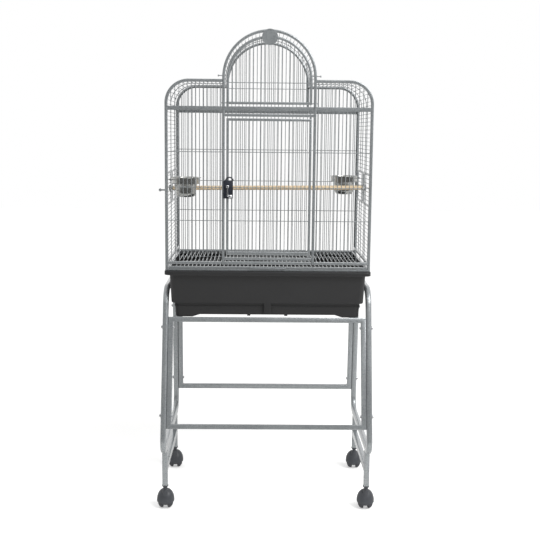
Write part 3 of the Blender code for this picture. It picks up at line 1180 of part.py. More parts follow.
def build():
    clear_scene()
    front_hoop()
    front_sill()
    front_header()
    rear_centre_panel()
    for word, side in SIDES:
        side_panel(f"front_{word}_panel", side, -CAGE_HALF_DEPTH, 1)
        side_panel(f"rear_{word}_panel", side, CAGE_HALF_DEPTH, -1)
        wall_lower(word, side)
        upper_panel(word, side)
        side_hoop(word, side)
        foot(word, side)
        for place, y in (("front", FOOT_FRONT_Y), ("rear", FOOT_REAR_Y)):
            caster(place, y, word, side)
    for place, word, side, end in HATCHES:
        feeder_frame(word, side, end)
        feeder_door(place, word, side, end)
        bowl_ring(place, word, side, end)
        bowl(place, word, side, end)
    vault()
    main_door()
    lock()
    arch_door()
    arch_disc()
    arch_latch_pins()
    perch()
    base_frame()
    floor_grille()
    basin()
    for place, end in ENDS:
        stand_frame(place, end)
    stand_bolts()
    centre_footprint()


build()
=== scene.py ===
# %% [markdown]
# # A domed bird cage on a wheeled stand
# The real cage is steel tube and welded wire under a hammered grey powder coat. It stands on a moulded basin,
# a tube stand and four twin-wheel castors. Nearly everything here is a bar of one section carried along a
# path, so this lesson makes one function for that and uses it for tubes, rails and arches alike. The packed
# model gives the main sizes and places: each fine piece below replaces one plain solid of it and rides on the
# same body. A few pieces follow the real cage more closely than their solids do, and their cells say so.

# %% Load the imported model
import json
import math

import bpy
import numpy as np
from mathutils import Matrix, Vector


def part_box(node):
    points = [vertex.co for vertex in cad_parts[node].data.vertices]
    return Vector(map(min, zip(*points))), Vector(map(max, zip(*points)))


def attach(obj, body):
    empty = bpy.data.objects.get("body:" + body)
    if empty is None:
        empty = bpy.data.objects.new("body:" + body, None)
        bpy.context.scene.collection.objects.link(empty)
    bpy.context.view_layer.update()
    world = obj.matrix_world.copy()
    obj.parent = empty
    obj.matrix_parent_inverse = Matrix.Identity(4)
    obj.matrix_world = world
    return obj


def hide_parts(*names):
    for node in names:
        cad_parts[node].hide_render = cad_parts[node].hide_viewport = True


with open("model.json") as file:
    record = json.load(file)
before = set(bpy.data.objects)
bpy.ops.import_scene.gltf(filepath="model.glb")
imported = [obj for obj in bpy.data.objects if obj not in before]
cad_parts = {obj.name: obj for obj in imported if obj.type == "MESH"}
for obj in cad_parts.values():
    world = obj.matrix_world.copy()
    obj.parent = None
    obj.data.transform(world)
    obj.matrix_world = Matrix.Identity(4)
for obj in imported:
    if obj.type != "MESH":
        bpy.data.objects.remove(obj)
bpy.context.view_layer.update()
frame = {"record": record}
BODY_OF = {node: body for body, nodes in frame["record"]["behaviour"]["bodies"].items() for node in nodes}
SIDES = (("left", -1), ("right", 1))
ENDS = (("front", -1), ("rear", 1))

# %% [markdown]
# The cage is the same on both sides of its middle, but the stand reaches further forward than back, so the
# middle of the cage isn't the middle of the floor space. All sizes below are measured from the cage's middle,
# and the last step of making a piece moves it to its place in the model.

# %% Where the cage's middle is
MIDDLE_Y = (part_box("base_frame")[0].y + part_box("base_frame")[1].y) / 2


def span(node, axis):
    """A node's lowest and highest place along one axis (0, 1 or 2), measured from the cage's middle."""
    low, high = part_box(node)
    shift = MIDDLE_Y if axis == 1 else 0.0
    return low[axis] - shift, high[axis] - shift


print(f"cage middle y {MIDDLE_Y:.4f}")

# %% [markdown]
# Sizes of the stock that the cage is welded from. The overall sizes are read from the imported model, so that
# the fine pieces follow it.

# %% Sizes of the cage
POST = 0.012
HOOP = 0.011
DOOR = 0.010
DOOR_PLAY = 0.006
WIRE = 0.003
EDGE_WIRE = 0.004
ROD = 0.005
PITCH = 0.0159
GAP = 0.0003
SHOULDER = 0.0865
ARCH_DROP = 0.0074
HALF_WIDTH = span("base_frame", 0)[1] - POST / 2
HALF_DEPTH = span("base_frame", 1)[1] - POST / 2
FRONT_Y = -HALF_DEPTH
ROOF = span("front_left_panel", 2)[1] - POST / 2
HOOP_X = span("front_hoop", 0)[1] - HOOP / 2
HOOP_SPRING = span("front_hoop", 2)[1] - HOOP / 2 - HOOP_X
STILE_X = HOOP_X - HOOP / 2 - DOOR_PLAY - DOOR / 2
ARCH_SPRING = HOOP_SPRING - ARCH_DROP
BASE_LOW, BASE_TOP = span("base_frame", 2)
RAIL_LOW = span("front_hoop", 2)[0]
RAIL_TOP = RAIL_LOW + POST
MID_RAIL_LOW, MID_RAIL_TOP = 1.603, 1.619
CROSS_LEVELS = (1.174, 1.305, 1.443)
ARCH_CROSS_LEVEL = 1.710
EDGE_Y = HALF_DEPTH - POST / 2 - GAP - EDGE_WIRE / 2
RIB_Y = HALF_DEPTH / 3
print(f"cage {2 * HALF_WIDTH:.3f} x {2 * HALF_DEPTH:.3f} m, roof at {ROOF:.3f} m")

# %% [markdown]
# The camera stands about 4 m in front of the cage and a little above its perch, looking slightly down. Its
# place and turn were fitted to the straight edges of the cage in the photograph. A matrix holds them all:
# move, turn right, tip down from level, and a small roll.

# %% Camera
FOCAL_LENGTH = 63.92
CAMERA_PLACE = (-0.0502, -3.9863, 1.5217)
CAMERA_DOWN, CAMERA_RIGHT, CAMERA_ROLL = 8.186, 0.898, 0.570

lens = bpy.data.cameras.new("photo_camera")
lens.lens = FOCAL_LENGTH
camera = bpy.data.objects.new("photo_camera", lens)
bpy.context.scene.collection.objects.link(camera)
camera.matrix_world = (
    Matrix.Translation(CAMERA_PLACE)
    @ Matrix.Rotation(math.radians(-CAMERA_RIGHT), 4, "Z")
    @ Matrix.Rotation(math.radians(90 - CAMERA_DOWN), 4, "X")
    @ Matrix.Rotation(math.radians(CAMERA_ROLL), 4, "Z")
)
bpy.context.scene.camera = camera
bpy.context.scene.view_settings.view_transform = "Standard"
print("camera at", CAMERA_PLACE, "lens", FOCAL_LENGTH)

# %% [markdown]
# A shader is a small net of nodes. One function adds a node, sets its properties and fills or links its
# inputs, and one turns a screen colour into the linear light that shaders work in. Two more start and end a
# material, because every material here starts from a place on the piece and ends in the same shader.

# %% Colour and node helpers


def linear(code):
    """A hex screen colour as linear light: c / 12.92 when dark, else ((c + 0.055) / 1.055) ** 2.4."""
    screen = np.array([int(code[i:i + 2], 16) for i in (1, 3, 5)]) / 255
    light = np.where(screen <= 0.04045, screen / 12.92, ((screen + 0.055) / 1.055) ** 2.4)
    return (*light.tolist(), 1.0)


def add(material, kind, inputs=None, **settings):
    """Adds one node. An input is found by number, name or identifier, and takes a value or an output."""
    tree = material.node_tree
    node = tree.nodes.new(kind)
    for name, value in settings.items():
        setattr(node, name, value)
    for name, value in (inputs or {}).items():
        socket = next(s for i, s in enumerate(node.inputs) if name in (i, s.identifier, s.name))
        if isinstance(value, bpy.types.NodeSocket):
            tree.links.new(value, socket)
        else:
            socket.default_value = value
    return node


def new_material(name):
    """An empty material, and the place on the piece, in metres, that its patterns read."""
    material = bpy.data.materials.new(name)
    material.use_nodes = True
    material.node_tree.nodes.clear()
    return material, add(material, "ShaderNodeTexCoord").outputs["Object"]


def surface(material, inputs):
    """Ends a material with the shader that light meets, and gives the material back."""
    shader = add(material, "ShaderNodeBsdfPrincipled", inputs)
    add(material, "ShaderNodeOutputMaterial", {"Surface": shader.outputs[0]})
    return material


print("mid grey as light:", round(linear("#808080")[0], 3))

# %% [markdown]
# The cage stands in a plain white studio. The world lights it softly from all round, and one large lamp at
# the front right gives the tubes a lit side. Straight rays see plain white, so the background is white.
# Glossy rays see a room: a white sheet behind and a bright ceiling, but a dark side and a darker floor in
# front of the cage. The dark part is what gives polished metal and smooth paint their contrast.

# %% World, floor and lamp
FLOOR_SIZE = 30.0
WORLD_STRENGTH = 0.68
ROOM_DARK = 0.16
SHEET_FROM, SHEET_TO = -0.55, 0.25
CEILING_FROM, CEILING_TO = 0.35, 0.75
FLOOR_PALE, FLOOR_DARK = "#F4F4F3", "#6A6A68"
DARK_FROM, DARK_TO = -1.2, -3.2
FLOOR_GLOW = 0.40
LAMP_PLACE, LAMP_AIM = (2.4, -2.6, 4.0), (0, 0, 1.0)
LAMP_SIZE = 2.6
LAMP_POWER = 170.0


def straight_rays(material):
    """1 for the camera's rays and for those that pass through a surface, and 0 for others."""
    rays = add(material, "ShaderNodeLightPath").outputs
    kinds = {0: rays["Is Camera Ray"], 1: rays["Is Transmission Ray"]}
    return add(material, "ShaderNodeMath", kinds, operation="MAXIMUM").outputs[0]


def studio_world():
    """White for straight rays, the room for glossy ones, and an even light for the rest."""
    world = bpy.data.worlds.new("studio")
    world.use_nodes = True
    world.node_tree.nodes.clear()
    direction = add(world, "ShaderNodeTexCoord").outputs["Generated"]
    direction = add(world, "ShaderNodeSeparateXYZ", {"Vector": direction}).outputs
    sheet = {"Value": direction["Y"], "From Min": SHEET_FROM, "From Max": SHEET_TO}
    sheet = add(world, "ShaderNodeMapRange", sheet, interpolation_type="SMOOTHSTEP").outputs[0]
    ceiling = {"Value": direction["Z"], "From Min": CEILING_FROM, "From Max": CEILING_TO}
    ceiling = add(world, "ShaderNodeMapRange", ceiling, interpolation_type="SMOOTHSTEP").outputs[0]
    bright = add(world, "ShaderNodeMath", {0: sheet, 1: ceiling}, operation="MAXIMUM").outputs[0]
    room = {"Factor_Float": bright, "A_Float": ROOM_DARK, "B_Float": 1.0}
    room = add(world, "ShaderNodeMix", room, data_type="FLOAT").outputs[0]
    glossy = add(world, "ShaderNodeLightPath").outputs["Is Glossy Ray"]
    light = {"Factor_Float": glossy, "A_Float": WORLD_STRENGTH, "B_Float": room}
    light = add(world, "ShaderNodeMix", light, data_type="FLOAT").outputs[0]
    strength = {"Factor_Float": straight_rays(world), "A_Float": light, "B_Float": 1.0}
    strength = add(world, "ShaderNodeMix", strength, data_type="FLOAT").outputs[0]
    sky = add(world, "ShaderNodeBackground", {"Color": (1, 1, 1, 1), "Strength": strength})
    add(world, "ShaderNodeOutputWorld", {"Surface": sky.outputs[0]})
    bpy.context.scene.world = world


def studio_floor():
    """A pale matt floor. Straight rays see it a little brighter, so it meets the white background."""
    paper, place = new_material("pale_paper_floor")
    glow = {"Value": straight_rays(paper), "To Min": 0.0, "To Max": FLOOR_GLOW}
    glow = add(paper, "ShaderNodeMapRange", glow).outputs[0]
    place = add(paper, "ShaderNodeSeparateXYZ", {"Vector": place}).outputs
    ahead = {"Value": place["Y"], "From Min": DARK_FROM, "From Max": DARK_TO}
    ahead = add(paper, "ShaderNodeMapRange", ahead, interpolation_type="SMOOTHSTEP").outputs[0]
    glossy = add(paper, "ShaderNodeLightPath").outputs["Is Glossy Ray"]
    ahead = add(paper, "ShaderNodeMath", {0: ahead, 1: glossy}, operation="MULTIPLY").outputs[0]
    seen = {"Factor_Float": ahead, "A_Color": linear(FLOOR_PALE), "B_Color": linear(FLOOR_DARK)}
    seen = add(paper, "ShaderNodeMix", seen, data_type="RGBA").outputs[2]
    sheet = {"Base Color": seen, "Roughness": 0.9, "Specular IOR Level": 0.1}
    surface(paper, {**sheet, "Emission Color": (1, 1, 1, 1), "Emission Strength": glow})
    half = FLOOR_SIZE / 2
    corners = [(-half, -half, 0), (half, -half, 0), (half, half, 0), (-half, half, 0)]
    mesh = bpy.data.meshes.new("studio_floor")
    mesh.from_pydata(corners, [], [(0, 1, 2, 3)])
    mesh.materials.append(paper)
    floor = bpy.data.objects.new("studio_floor", mesh)
    bpy.context.scene.collection.objects.link(floor)


def soft_lamp():
    """A square lamp that faces the middle of the cage."""
    data = bpy.data.lights.new("right_softbox", "AREA")
    data.size = LAMP_SIZE
    data.energy = LAMP_POWER
    lamp = bpy.data.objects.new("right_softbox", data)
    lamp.location = LAMP_PLACE
    lamp.rotation_euler = (Vector(LAMP_AIM) - lamp.location).to_track_quat("-Z", "Y").to_euler()
    bpy.context.scene.collection.objects.link(lamp)


studio_world()
studio_floor()
soft_lamp()
print("world strength", WORLD_STRENGTH, "lamp", LAMP_POWER, "W")

# %% [markdown]
# **Hammertone powder coat** covers all the steel. The powder melts into beads about 2 mm across, with paler
# metal flake between darker dimples, and it stays glossy. Smooth Voronoi cells give the beads, and a finer
# noise moves the grey a little, which keeps long tubes from looking like flat plastic. A clear coat over it
# turns a bar seen nearly end-on almost white.

# %% Hammertone steel
BEAD = 0.0021
FLAKE = 0.0011


def hammertone(name, dark, light):
    steel, place = new_material(name)
    beads = {"Vector": place, "Scale": 1 / BEAD}
    beads = add(steel, "ShaderNodeTexVoronoi", beads, feature="SMOOTH_F1").outputs["Distance"]
    flake = {"Vector": place, "Scale": 1 / FLAKE, "Detail": 2.0}
    flake = add(steel, "ShaderNodeTexNoise", flake).outputs["Fac"]
    cloud = add(steel, "ShaderNodeTexNoise", {"Vector": place, "Scale": 9.0, "Detail": 2.0}).outputs["Fac"]
    speck = add(steel, "ShaderNodeMath", {0: beads, 1: flake}, operation="MULTIPLY").outputs[0]
    speck = add(steel, "ShaderNodeMapRange", {"Value": speck, "From Min": 0.08, "From Max": 0.42}).outputs[0]
    grey = {"Factor_Float": speck, "A_Color": linear(light), "B_Color": linear(dark)}
    grey = add(steel, "ShaderNodeMix", grey, data_type="RGBA").outputs[2]
    gloss = {"Value": cloud, "From Min": 0.3, "From Max": 0.7, "To Min": 0.27, "To Max": 0.40}
    gloss = add(steel, "ShaderNodeMapRange", gloss).outputs[0]
    relief = {"Height": beads, "Strength": 0.55, "Distance": 0.0004}
    relief = add(steel, "ShaderNodeBump", relief, invert=True).outputs[0]
    coat = {"Base Color": grey, "Roughness": gloss, "Metallic": 0.55, "Normal": relief}
    return surface(steel, {**coat, "Coat Weight": 1.0, "Coat Roughness": 0.12})


HAMMERTONE = hammertone("hammertone_powder_coat", "#72777A", "#ABAFB1")
print("beads", BEAD * 1000, "mm")

# %% [markdown]
# **Moulded plastics.** The basin is polypropylene from a lightly sparked mould, so it is dull, with a fine
# even grain. The castors are glass-filled nylon, a little greyer and smoother, and their treads are soft
# rubber. One function makes all three: a colour that drifts slightly and a noise bump for the mould's grain.

# %% Moulded plastics
PLASTIC_IOR = 1.49
DULL_DRIFT = 0.08


def moulded(name, colour, drift, roughness, grain, depth):
    plastic, place = new_material(name)
    texture = {"Vector": place, "Scale": 1 / grain, "Detail": 3.0}
    texture = add(plastic, "ShaderNodeTexNoise", texture).outputs["Fac"]
    cloud = add(plastic, "ShaderNodeTexNoise", {"Vector": place, "Scale": 6.0, "Detail": 3.0}).outputs["Fac"]
    tone = {"Factor_Float": cloud, "A_Color": linear(colour), "B_Color": linear(drift)}
    tone = add(plastic, "ShaderNodeMix", tone, data_type="RGBA").outputs[2]
    dull = {"Value": texture, "To Min": roughness - DULL_DRIFT, "To Max": roughness + DULL_DRIFT}
    dull = add(plastic, "ShaderNodeMapRange", dull).outputs[0]
    relief = {"Height": texture, "Strength": 0.35, "Distance": depth}
    relief = add(plastic, "ShaderNodeBump", relief).outputs[0]
    return surface(plastic, {"Base Color": tone, "Roughness": dull, "IOR": PLASTIC_IOR, "Normal": relief})


POLYPROPYLENE = moulded("spark_grained_polypropylene", "#1F1F20", "#262627", 0.52, 0.0007, 0.00012)
NYLON = moulded("glass_filled_nylon", "#3C3E42", "#46484D", 0.42, 0.0009, 0.0001)
RUBBER = moulded("soft_rubber_tread", "#3A3B3F", "#44454A", 0.62, 0.0012, 0.00015)
print("plastic grain 0.7 to 1.2 mm")

# %% [markdown]
# **Bright metals.** Bolts, pins and the lock's lever are chrome plated, smooth enough to mirror the room. The
# bowls are spun from stainless sheet: the tool leaves rings round the axis, which smear each reflection.
# The rings come from a wave in the height of the bowl. Real ones are finer, and they are drawn 1.6 mm apart,
# as coarse as they need to be to show. The wave node runs 20 radians for each unit of its scaled height.

# %% Chrome and spun stainless
RING_SPACING = 0.0016
WAVE_RATE = 20


def chrome_plate():
    chrome, place = new_material("chrome_plate")
    haze = add(chrome, "ShaderNodeTexNoise", {"Vector": place, "Scale": 160.0, "Detail": 3.0}).outputs["Fac"]
    gloss = add(chrome, "ShaderNodeMapRange", {"Value": haze, "To Min": 0.06, "To Max": 0.16}).outputs[0]
    return surface(chrome, {"Base Color": linear("#C9CACC"), "Metallic": 1.0, "Roughness": gloss})


def spun_stainless():
    bowl, place = new_material("spun_stainless")
    scale = 2 * math.pi / (WAVE_RATE * RING_SPACING)
    rings = {"Vector": place, "Scale": scale, "Distortion": 0.6, "Detail": 2.0}
    rings = add(bowl, "ShaderNodeTexWave", rings, wave_type="BANDS", bands_direction="Z").outputs["Fac"]
    gloss = add(bowl, "ShaderNodeMapRange", {"Value": rings, "To Min": 0.13, "To Max": 0.24}).outputs[0]
    relief = add(bowl, "ShaderNodeBump", {"Height": rings, "Strength": 0.12, "Distance": 0.0001}).outputs[0]
    sheet = {"Base Color": linear("#B9B9B6"), "Metallic": 1.0, "Roughness": gloss, "Normal": relief}
    return surface(bowl, sheet)


CHROME = chrome_plate()
STAINLESS = spun_stainless()
print("spinning rings", RING_SPACING * 1000, "mm apart")

# %% [markdown]
# **Lock paint** is a dark blue-black enamel over pressed steel, satin, with small paler spots worn on it.
# **The perch** is a sanded beech dowel. Its grain runs along it, so the noise is stretched along X, and short
# dark flecks show the rays of the wood, drawn larger than real ones so that they show. Bare wood is matt.

# %% Lock paint and beech
GRAIN, GRAIN_STRETCH = 0.0012, 0.04
FLECK, FLECK_STRETCH = 0.005, 0.15


def lock_enamel():
    paint, place = new_material("satin_lock_enamel")
    wear = add(paint, "ShaderNodeTexNoise", {"Vector": place, "Scale": 300.0, "Detail": 4.0}).outputs["Fac"]
    tone = add(paint, "ShaderNodeMapRange", {"Value": wear, "From Min": 0.55, "From Max": 0.8}).outputs[0]
    tone = {"Factor_Float": tone, "A_Color": linear("#20242E"), "B_Color": linear("#3A3F49")}
    tone = add(paint, "ShaderNodeMix", tone, data_type="RGBA").outputs[2]
    gloss = add(paint, "ShaderNodeMapRange", {"Value": wear, "To Min": 0.28, "To Max": 0.45}).outputs[0]
    return surface(paint, {"Base Color": tone, "Roughness": gloss, "Coat Weight": 0.3})


def sanded_beech():
    wood, place = new_material("sanded_beech")
    grain = add(wood, "ShaderNodeMapping", {"Vector": place, "Scale": (GRAIN_STRETCH, 1.0, 1.0)}).outputs[0]
    grain = {"Vector": grain, "Scale": 1 / GRAIN, "Detail": 4.0}
    grain = add(wood, "ShaderNodeTexNoise", grain).outputs["Fac"]
    fleck = add(wood, "ShaderNodeMapping", {"Vector": place, "Scale": (FLECK_STRETCH, 1.0, 1.0)}).outputs[0]
    fleck = {"Vector": fleck, "Scale": 1 / FLECK, "Detail": 1.0}
    fleck = add(wood, "ShaderNodeTexNoise", fleck).outputs["Fac"]
    tone = {"Factor_Float": grain, "A_Color": linear("#F3E1C3"), "B_Color": linear("#E4C79C")}
    tone = add(wood, "ShaderNodeMix", tone, data_type="RGBA").outputs[2]
    spots = {"Value": fleck, "From Min": 0.58, "From Max": 0.72, "To Max": 0.6}
    spots = add(wood, "ShaderNodeMapRange", spots).outputs[0]
    tone = {"Factor_Float": spots, "A_Color": tone, "B_Color": linear("#C9A57B")}
    tone = add(wood, "ShaderNodeMix", tone, data_type="RGBA").outputs[2]
    relief = add(wood, "ShaderNodeBump", {"Height": grain, "Strength": 0.3, "Distance": 0.0002}).outputs[0]
    return surface(wood, {"Base Color": tone, "Roughness": 0.62, "Normal": relief})


ENAMEL = lock_enamel()
BEECH = sanded_beech()
print("beech grain", GRAIN * 1000, "mm")

# %% [markdown]
# Now the shapes. Every closed bar is a loft: rows of points, one section after another, joined by quads and
# closed by a cap at each end. The rows and columns make a grid, so the corners of all its quads can be worked
# out at once as arrays, with no loop over points.

# %% Grids and lofts
X, Y, Z = (1, 0, 0), (0, 1, 0), (0, 0, 1)


def grid_faces(rows, columns, wrap_rows=False, wrap_columns=True):
    """Quads of a grid of points stored row after row: (i, j), (i, j + 1), (i + 1, j + 1), (i + 1, j)."""
    i = np.arange(rows if wrap_rows else rows - 1)[:, None]
    j = np.arange(columns if wrap_columns else columns - 1)[None, :]
    below, beside = (i + 1) % rows, (j + 1) % columns
    corners = (i * columns + j, i * columns + beside, below * columns + beside, below * columns + j)
    return np.stack(corners, axis=-1).reshape(-1, 4)


def loft(rows, closed=False):
    """A skin over sections, shaped (rows, columns, 3). It closes on itself, or has a cap at each end."""
    rows = np.asarray(rows, dtype=float)
    count, columns = rows.shape[:2]
    faces = [grid_faces(count, columns, wrap_rows=closed)]
    if not closed:
        ring = np.arange(columns)
        faces += [ring[None, ::-1], ring[None] + (count - 1) * columns]
    return rows.reshape(-1, 3), faces


def unit(vectors):
    return vectors / np.linalg.norm(vectors, axis=-1, keepdims=True)


def along_path(path, normal, section, closed=False):
    """A bar along a flat path. A section point (u, v) lies u to the side, normal x direction, and v up the
    normal. Where the path bends, u grows by one over the cosine of half the bend, so the width is kept."""
    path, normal = np.asarray(path, dtype=float), np.asarray(normal, dtype=float)
    steps = unit(np.roll(path, -1, axis=0) - path) if closed else unit(path[1:] - path[:-1])
    leave = steps if closed else np.vstack([steps, steps[-1:]])
    arrive = np.roll(steps, 1, axis=0) if closed else np.vstack([steps[:1], steps])
    out = np.cross(normal, leave)
    side = unit(np.cross(normal, arrive) + out)
    side = side / np.sum(side * out, axis=1, keepdims=True)
    u, v = np.asarray(section, dtype=float).T
    return loft(path[:, None] + side[:, None] * u[None, :, None] + normal * v[None, :, None], closed)


def bar(start, end, section, normal):
    """A straight bar between two places."""
    return along_path((start, end), normal, section)


print("a 3 by 4 grid has", len(grid_faces(3, 4)), "quads")

# %% [markdown]
# Square tube has rounded corners, because it is rolled from a round one, and wire is round. Straight wires
# come by the hundred, so they are made together: one array holds all the starts, another all the ends.

# %% Sections and wires


def tube_section(width, height=None, corner=0.0025, steps=4):
    """A rectangle with round corners: quarter circles round four middles, each a radius in from the edges."""
    height = height or width
    turns = (np.arange(4)[:, None] + np.linspace(0, 1, steps + 1)[None]) * math.pi / 2
    signs = np.array([(1, 1), (-1, 1), (-1, -1), (1, -1)])[:, None]
    middles = signs * (width / 2 - corner, height / 2 - corner)
    return (middles + corner * np.stack([np.cos(turns), np.sin(turns)], axis=-1)).reshape(-1, 2)


def round_section(radius, sides=12):
    """Points on a circle, half a step round, so that its flats face along the axes."""
    turns = (np.arange(sides) + 0.5) * 2 * math.pi / sides
    return radius * np.stack([np.cos(turns), np.sin(turns)], axis=-1)


def wires(starts, ends, radius=WIRE / 2, sides=12):
    """Straight round wires: each end's ring is end + u * across + v * over, for points (u, v) of a circle."""
    starts, ends = np.broadcast_arrays(np.atleast_2d(starts).astype(float), np.atleast_2d(ends).astype(float))
    along = unit(ends - starts)
    across = unit(np.cross(along, np.eye(3)[np.argmin(np.abs(along), axis=1)]))
    over = np.cross(along, across)
    u, v = round_section(radius, sides).T
    ring = across[:, None] * u[None, :, None] + over[:, None] * v[None, :, None]
    points = np.stack([starts[:, None] + ring, ends[:, None] + ring], axis=1)
    first = np.arange(len(starts))[:, None, None] * 2 * sides
    corners = np.arange(sides)
    caps = np.stack([corners[::-1], corners + sides])
    faces = [(grid_faces(2, sides)[None] + first).reshape(-1, 4), (caps[None] + first).reshape(-1, sides)]
    return points.reshape(-1, 3), faces


def columns(*places):
    """Rows of points, from a number or an array of numbers for each axis."""
    return np.stack(np.broadcast_arrays(*[np.asarray(place, dtype=float) for place in places]), axis=-1)


def grid_lines(low, high):
    """Wire places between two ends, on a grid of one pitch centred on the cage."""
    return PITCH * np.arange(math.ceil((low + WIRE) / PITCH), math.floor((high - WIRE) / PITCH) + 1)


print("wires across a front panel:", len(grid_lines(HOOP_X, HALF_WIDTH - POST / 2)))

# %% [markdown]
# Bolts, bowls, wheels and knobs are turned: one outline of (radius, height) points spun round an axis. Where
# the outline touches the axis, the last ring closes to a single point with triangles, so no hole is left.

# %% Turned shapes
AXES = {
    "X": ((0, 1, 0), (0, 0, 1), (1, 0, 0)),
    "Y": ((0, 0, 1), (1, 0, 0), (0, 1, 0)),
    "Z": ((1, 0, 0), (0, 1, 0), (0, 0, 1)),
}


def turned(profile, centre, axis="Z", way=1, steps=48):
    """radius * (cos t * u + sin t * v) + height * axis, for each outline point and each turn t."""
    profile, centre = np.asarray(profile, dtype=float), np.asarray(centre, dtype=float)
    poles = np.flatnonzero(profile[:, 0] == 0)
    rings = profile[profile[:, 0] > 0]
    u, v, w = (np.array(vector, dtype=float) for vector in AXES[axis])
    turns = 2 * math.pi * np.arange(steps) / steps
    circle = np.cos(turns)[:, None] * u + np.sin(turns)[:, None] * v
    points = rings[:, 0, None, None] * circle[None] + (way * rings[:, 1])[:, None, None] * w + centre
    faces = [grid_faces(len(rings), steps, wrap_rows=len(poles) == 0)]
    points = points.reshape(-1, 3)
    here = np.arange(steps)
    beside = (here + 1) % steps
    for pole in poles:
        tip = len(points)
        points = np.vstack([points, centre + way * profile[pole, 1] * w])
        last = (len(rings) - 1) * steps
        first, second = (beside, here) if pole == 0 else (here + last, beside + last)
        faces.append(np.stack([first, second, np.full(steps, tip)], axis=-1))
    return points, faces


def round_bar(start, length, radius, axis, way=1, ease=0.0008, steps=32):
    """A turned bar with eased edges."""
    low_end = ((0, 0), (radius - ease, 0), (radius, ease))
    high_end = ((radius, length - ease), (radius - ease, length), (0, length))
    return turned(low_end + high_end, start, axis, way, steps)


def arc(centre, radius, start, end, steps):
    """Points on a circle from one angle in degrees to another: centre + radius * (cos t, sin t)."""
    turns = np.radians(np.linspace(start, end, steps + 1))
    return np.asarray(centre) + radius * np.stack([np.cos(turns), np.sin(turns)], axis=-1)


def ball(centre, radius, axis="Z", steps=32):
    """A turned ball: radius * cos t from the axis and radius * sin t along it."""
    outline = arc((0, 0), radius, -90, 90, steps // 2)
    outline[[0, -1], 0] = 0
    return turned(outline, centre, axis, steps=steps)


print("axes", list(AXES))

# %% [markdown]
# One function turns shapes into a finished piece. It checks which way each shape faces by its volume, moves
# it from the cage's middle to the model's place, and hands everything to Blender in flat arrays. Edges
# sharper than 35 degrees stay sharp, and the rest shade smoothly.

# %% Finishing a piece
SHARP = math.radians(35)
made = []


def outward(shape):
    """Faces of a closed shape turned out. A fan of tetrahedra from the origin sums to six volumes."""
    points, faces = shape
    volume = 0.0
    for block in faces:
        corner = points[block]
        fans = np.cross(corner[:, 1:-1], corner[:, 2:])
        volume += np.sum(corner[:, :1] * fans)
    return points, ([block[:, ::-1] for block in faces] if volume < 0 else faces)


def piece(node, material, shapes):
    """Joins closed shapes in one mesh, which replaces a node and rides on the node's body."""
    points, loops, sizes, start = [], [], [], 0
    for shape in shapes:
        shape_points, faces = outward(shape)
        points.append(shape_points)
        for block in faces:
            loops.append((block + start).ravel())
            sizes.append(np.full(len(block), block.shape[1]))
        start += len(shape_points)
    points, loops, sizes = np.vstack(points) + (0, MIDDLE_Y, 0), np.concatenate(loops), np.concatenate(sizes)
    mesh = bpy.data.meshes.new(f"{node}_fine")
    mesh.vertices.add(len(points))
    mesh.vertices.foreach_set("co", points.ravel())
    mesh.loops.add(len(loops))
    mesh.loops.foreach_set("vertex_index", loops)
    mesh.polygons.add(len(sizes))
    mesh.polygons.foreach_set("loop_start", np.cumsum(sizes) - sizes)
    mesh.update(calc_edges=True)
    mesh.validate()
    mesh.materials.append(material)
    mesh.shade_smooth()
    mesh.set_sharp_from_angle(angle=SHARP)
    fine = bpy.data.objects.new(mesh.name, mesh)
    bpy.context.scene.collection.objects.link(fine)
    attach(fine, BODY_OF[node])
    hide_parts(node)
    made.append((fine.name, int(np.sum(sizes - 2))))
    low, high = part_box(node)
    over = max(np.max(points - np.array(high)), np.max(np.array(low) - points))
    print(f"{fine.name}: {made[-1][1]} triangles, {1000 * over:.1f} mm past its solid")


print("sharp edges over", round(math.degrees(SHARP)), "degrees")

# %% [markdown]
# The front and rear corner panels. On the real cage one length of square tube makes the corner post, the
# shoulder and half of the roof, bent cold round a former, so one path does the same here. The upright wires
# stop at that tube, so each has its own height: the shoulder's circle at its place across the cage. A rail
# that runs into a post of its own size is half a millimetre smaller, because two faces in one place come out
# black.

# %% Corner panels
INSIDE = 0.0005
MID_RAIL_THICK, MID_RAIL_SEAT = 0.004, 0.00213


def shoulder_path(low, inner_end, inset=0.0, steps=24):
    """(across, up) points up the wall, round a quarter circle and in along the roof."""
    bend = arc((HALF_WIDTH - SHOULDER, ROOF - SHOULDER), SHOULDER - inset, 0, 90, steps)
    return np.vstack([(HALF_WIDTH - inset, low), bend, (inner_end, ROOF - inset)])


def shoulder_height(across):
    """Roof level, less how far the shoulder's circle has dropped at this place."""
    beyond = np.maximum(0, across - (HALF_WIDTH - SHOULDER))
    return ROOF - SHOULDER + np.sqrt(SHOULDER**2 - beyond**2)


def upright(path, y, side=1):
    """An (across, up) path as points in a plane of constant y."""
    path = np.asarray(path, dtype=float)
    return columns(side * path[:, 0], y, path[:, 1])


def rail_level(way):
    """The bottom rail's middle. The grille slides out under the front one. The rear one stands on the base,
    as on the real cage, which is 17 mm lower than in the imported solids."""
    return (RAIL_LOW if way > 0 else BASE_TOP + GAP) + POST / 2


def mid_rail(start, end, y, way):
    """A flat strip welded on the wires' outer face."""
    middle = y - way * (WIRE / 2 + MID_RAIL_SEAT)
    level = (MID_RAIL_LOW + MID_RAIL_TOP) / 2
    section = tube_section(MID_RAIL_THICK, MID_RAIL_TOP - MID_RAIL_LOW, 0.0008)
    return bar((start, middle, level), (end, middle, level), section, Z)


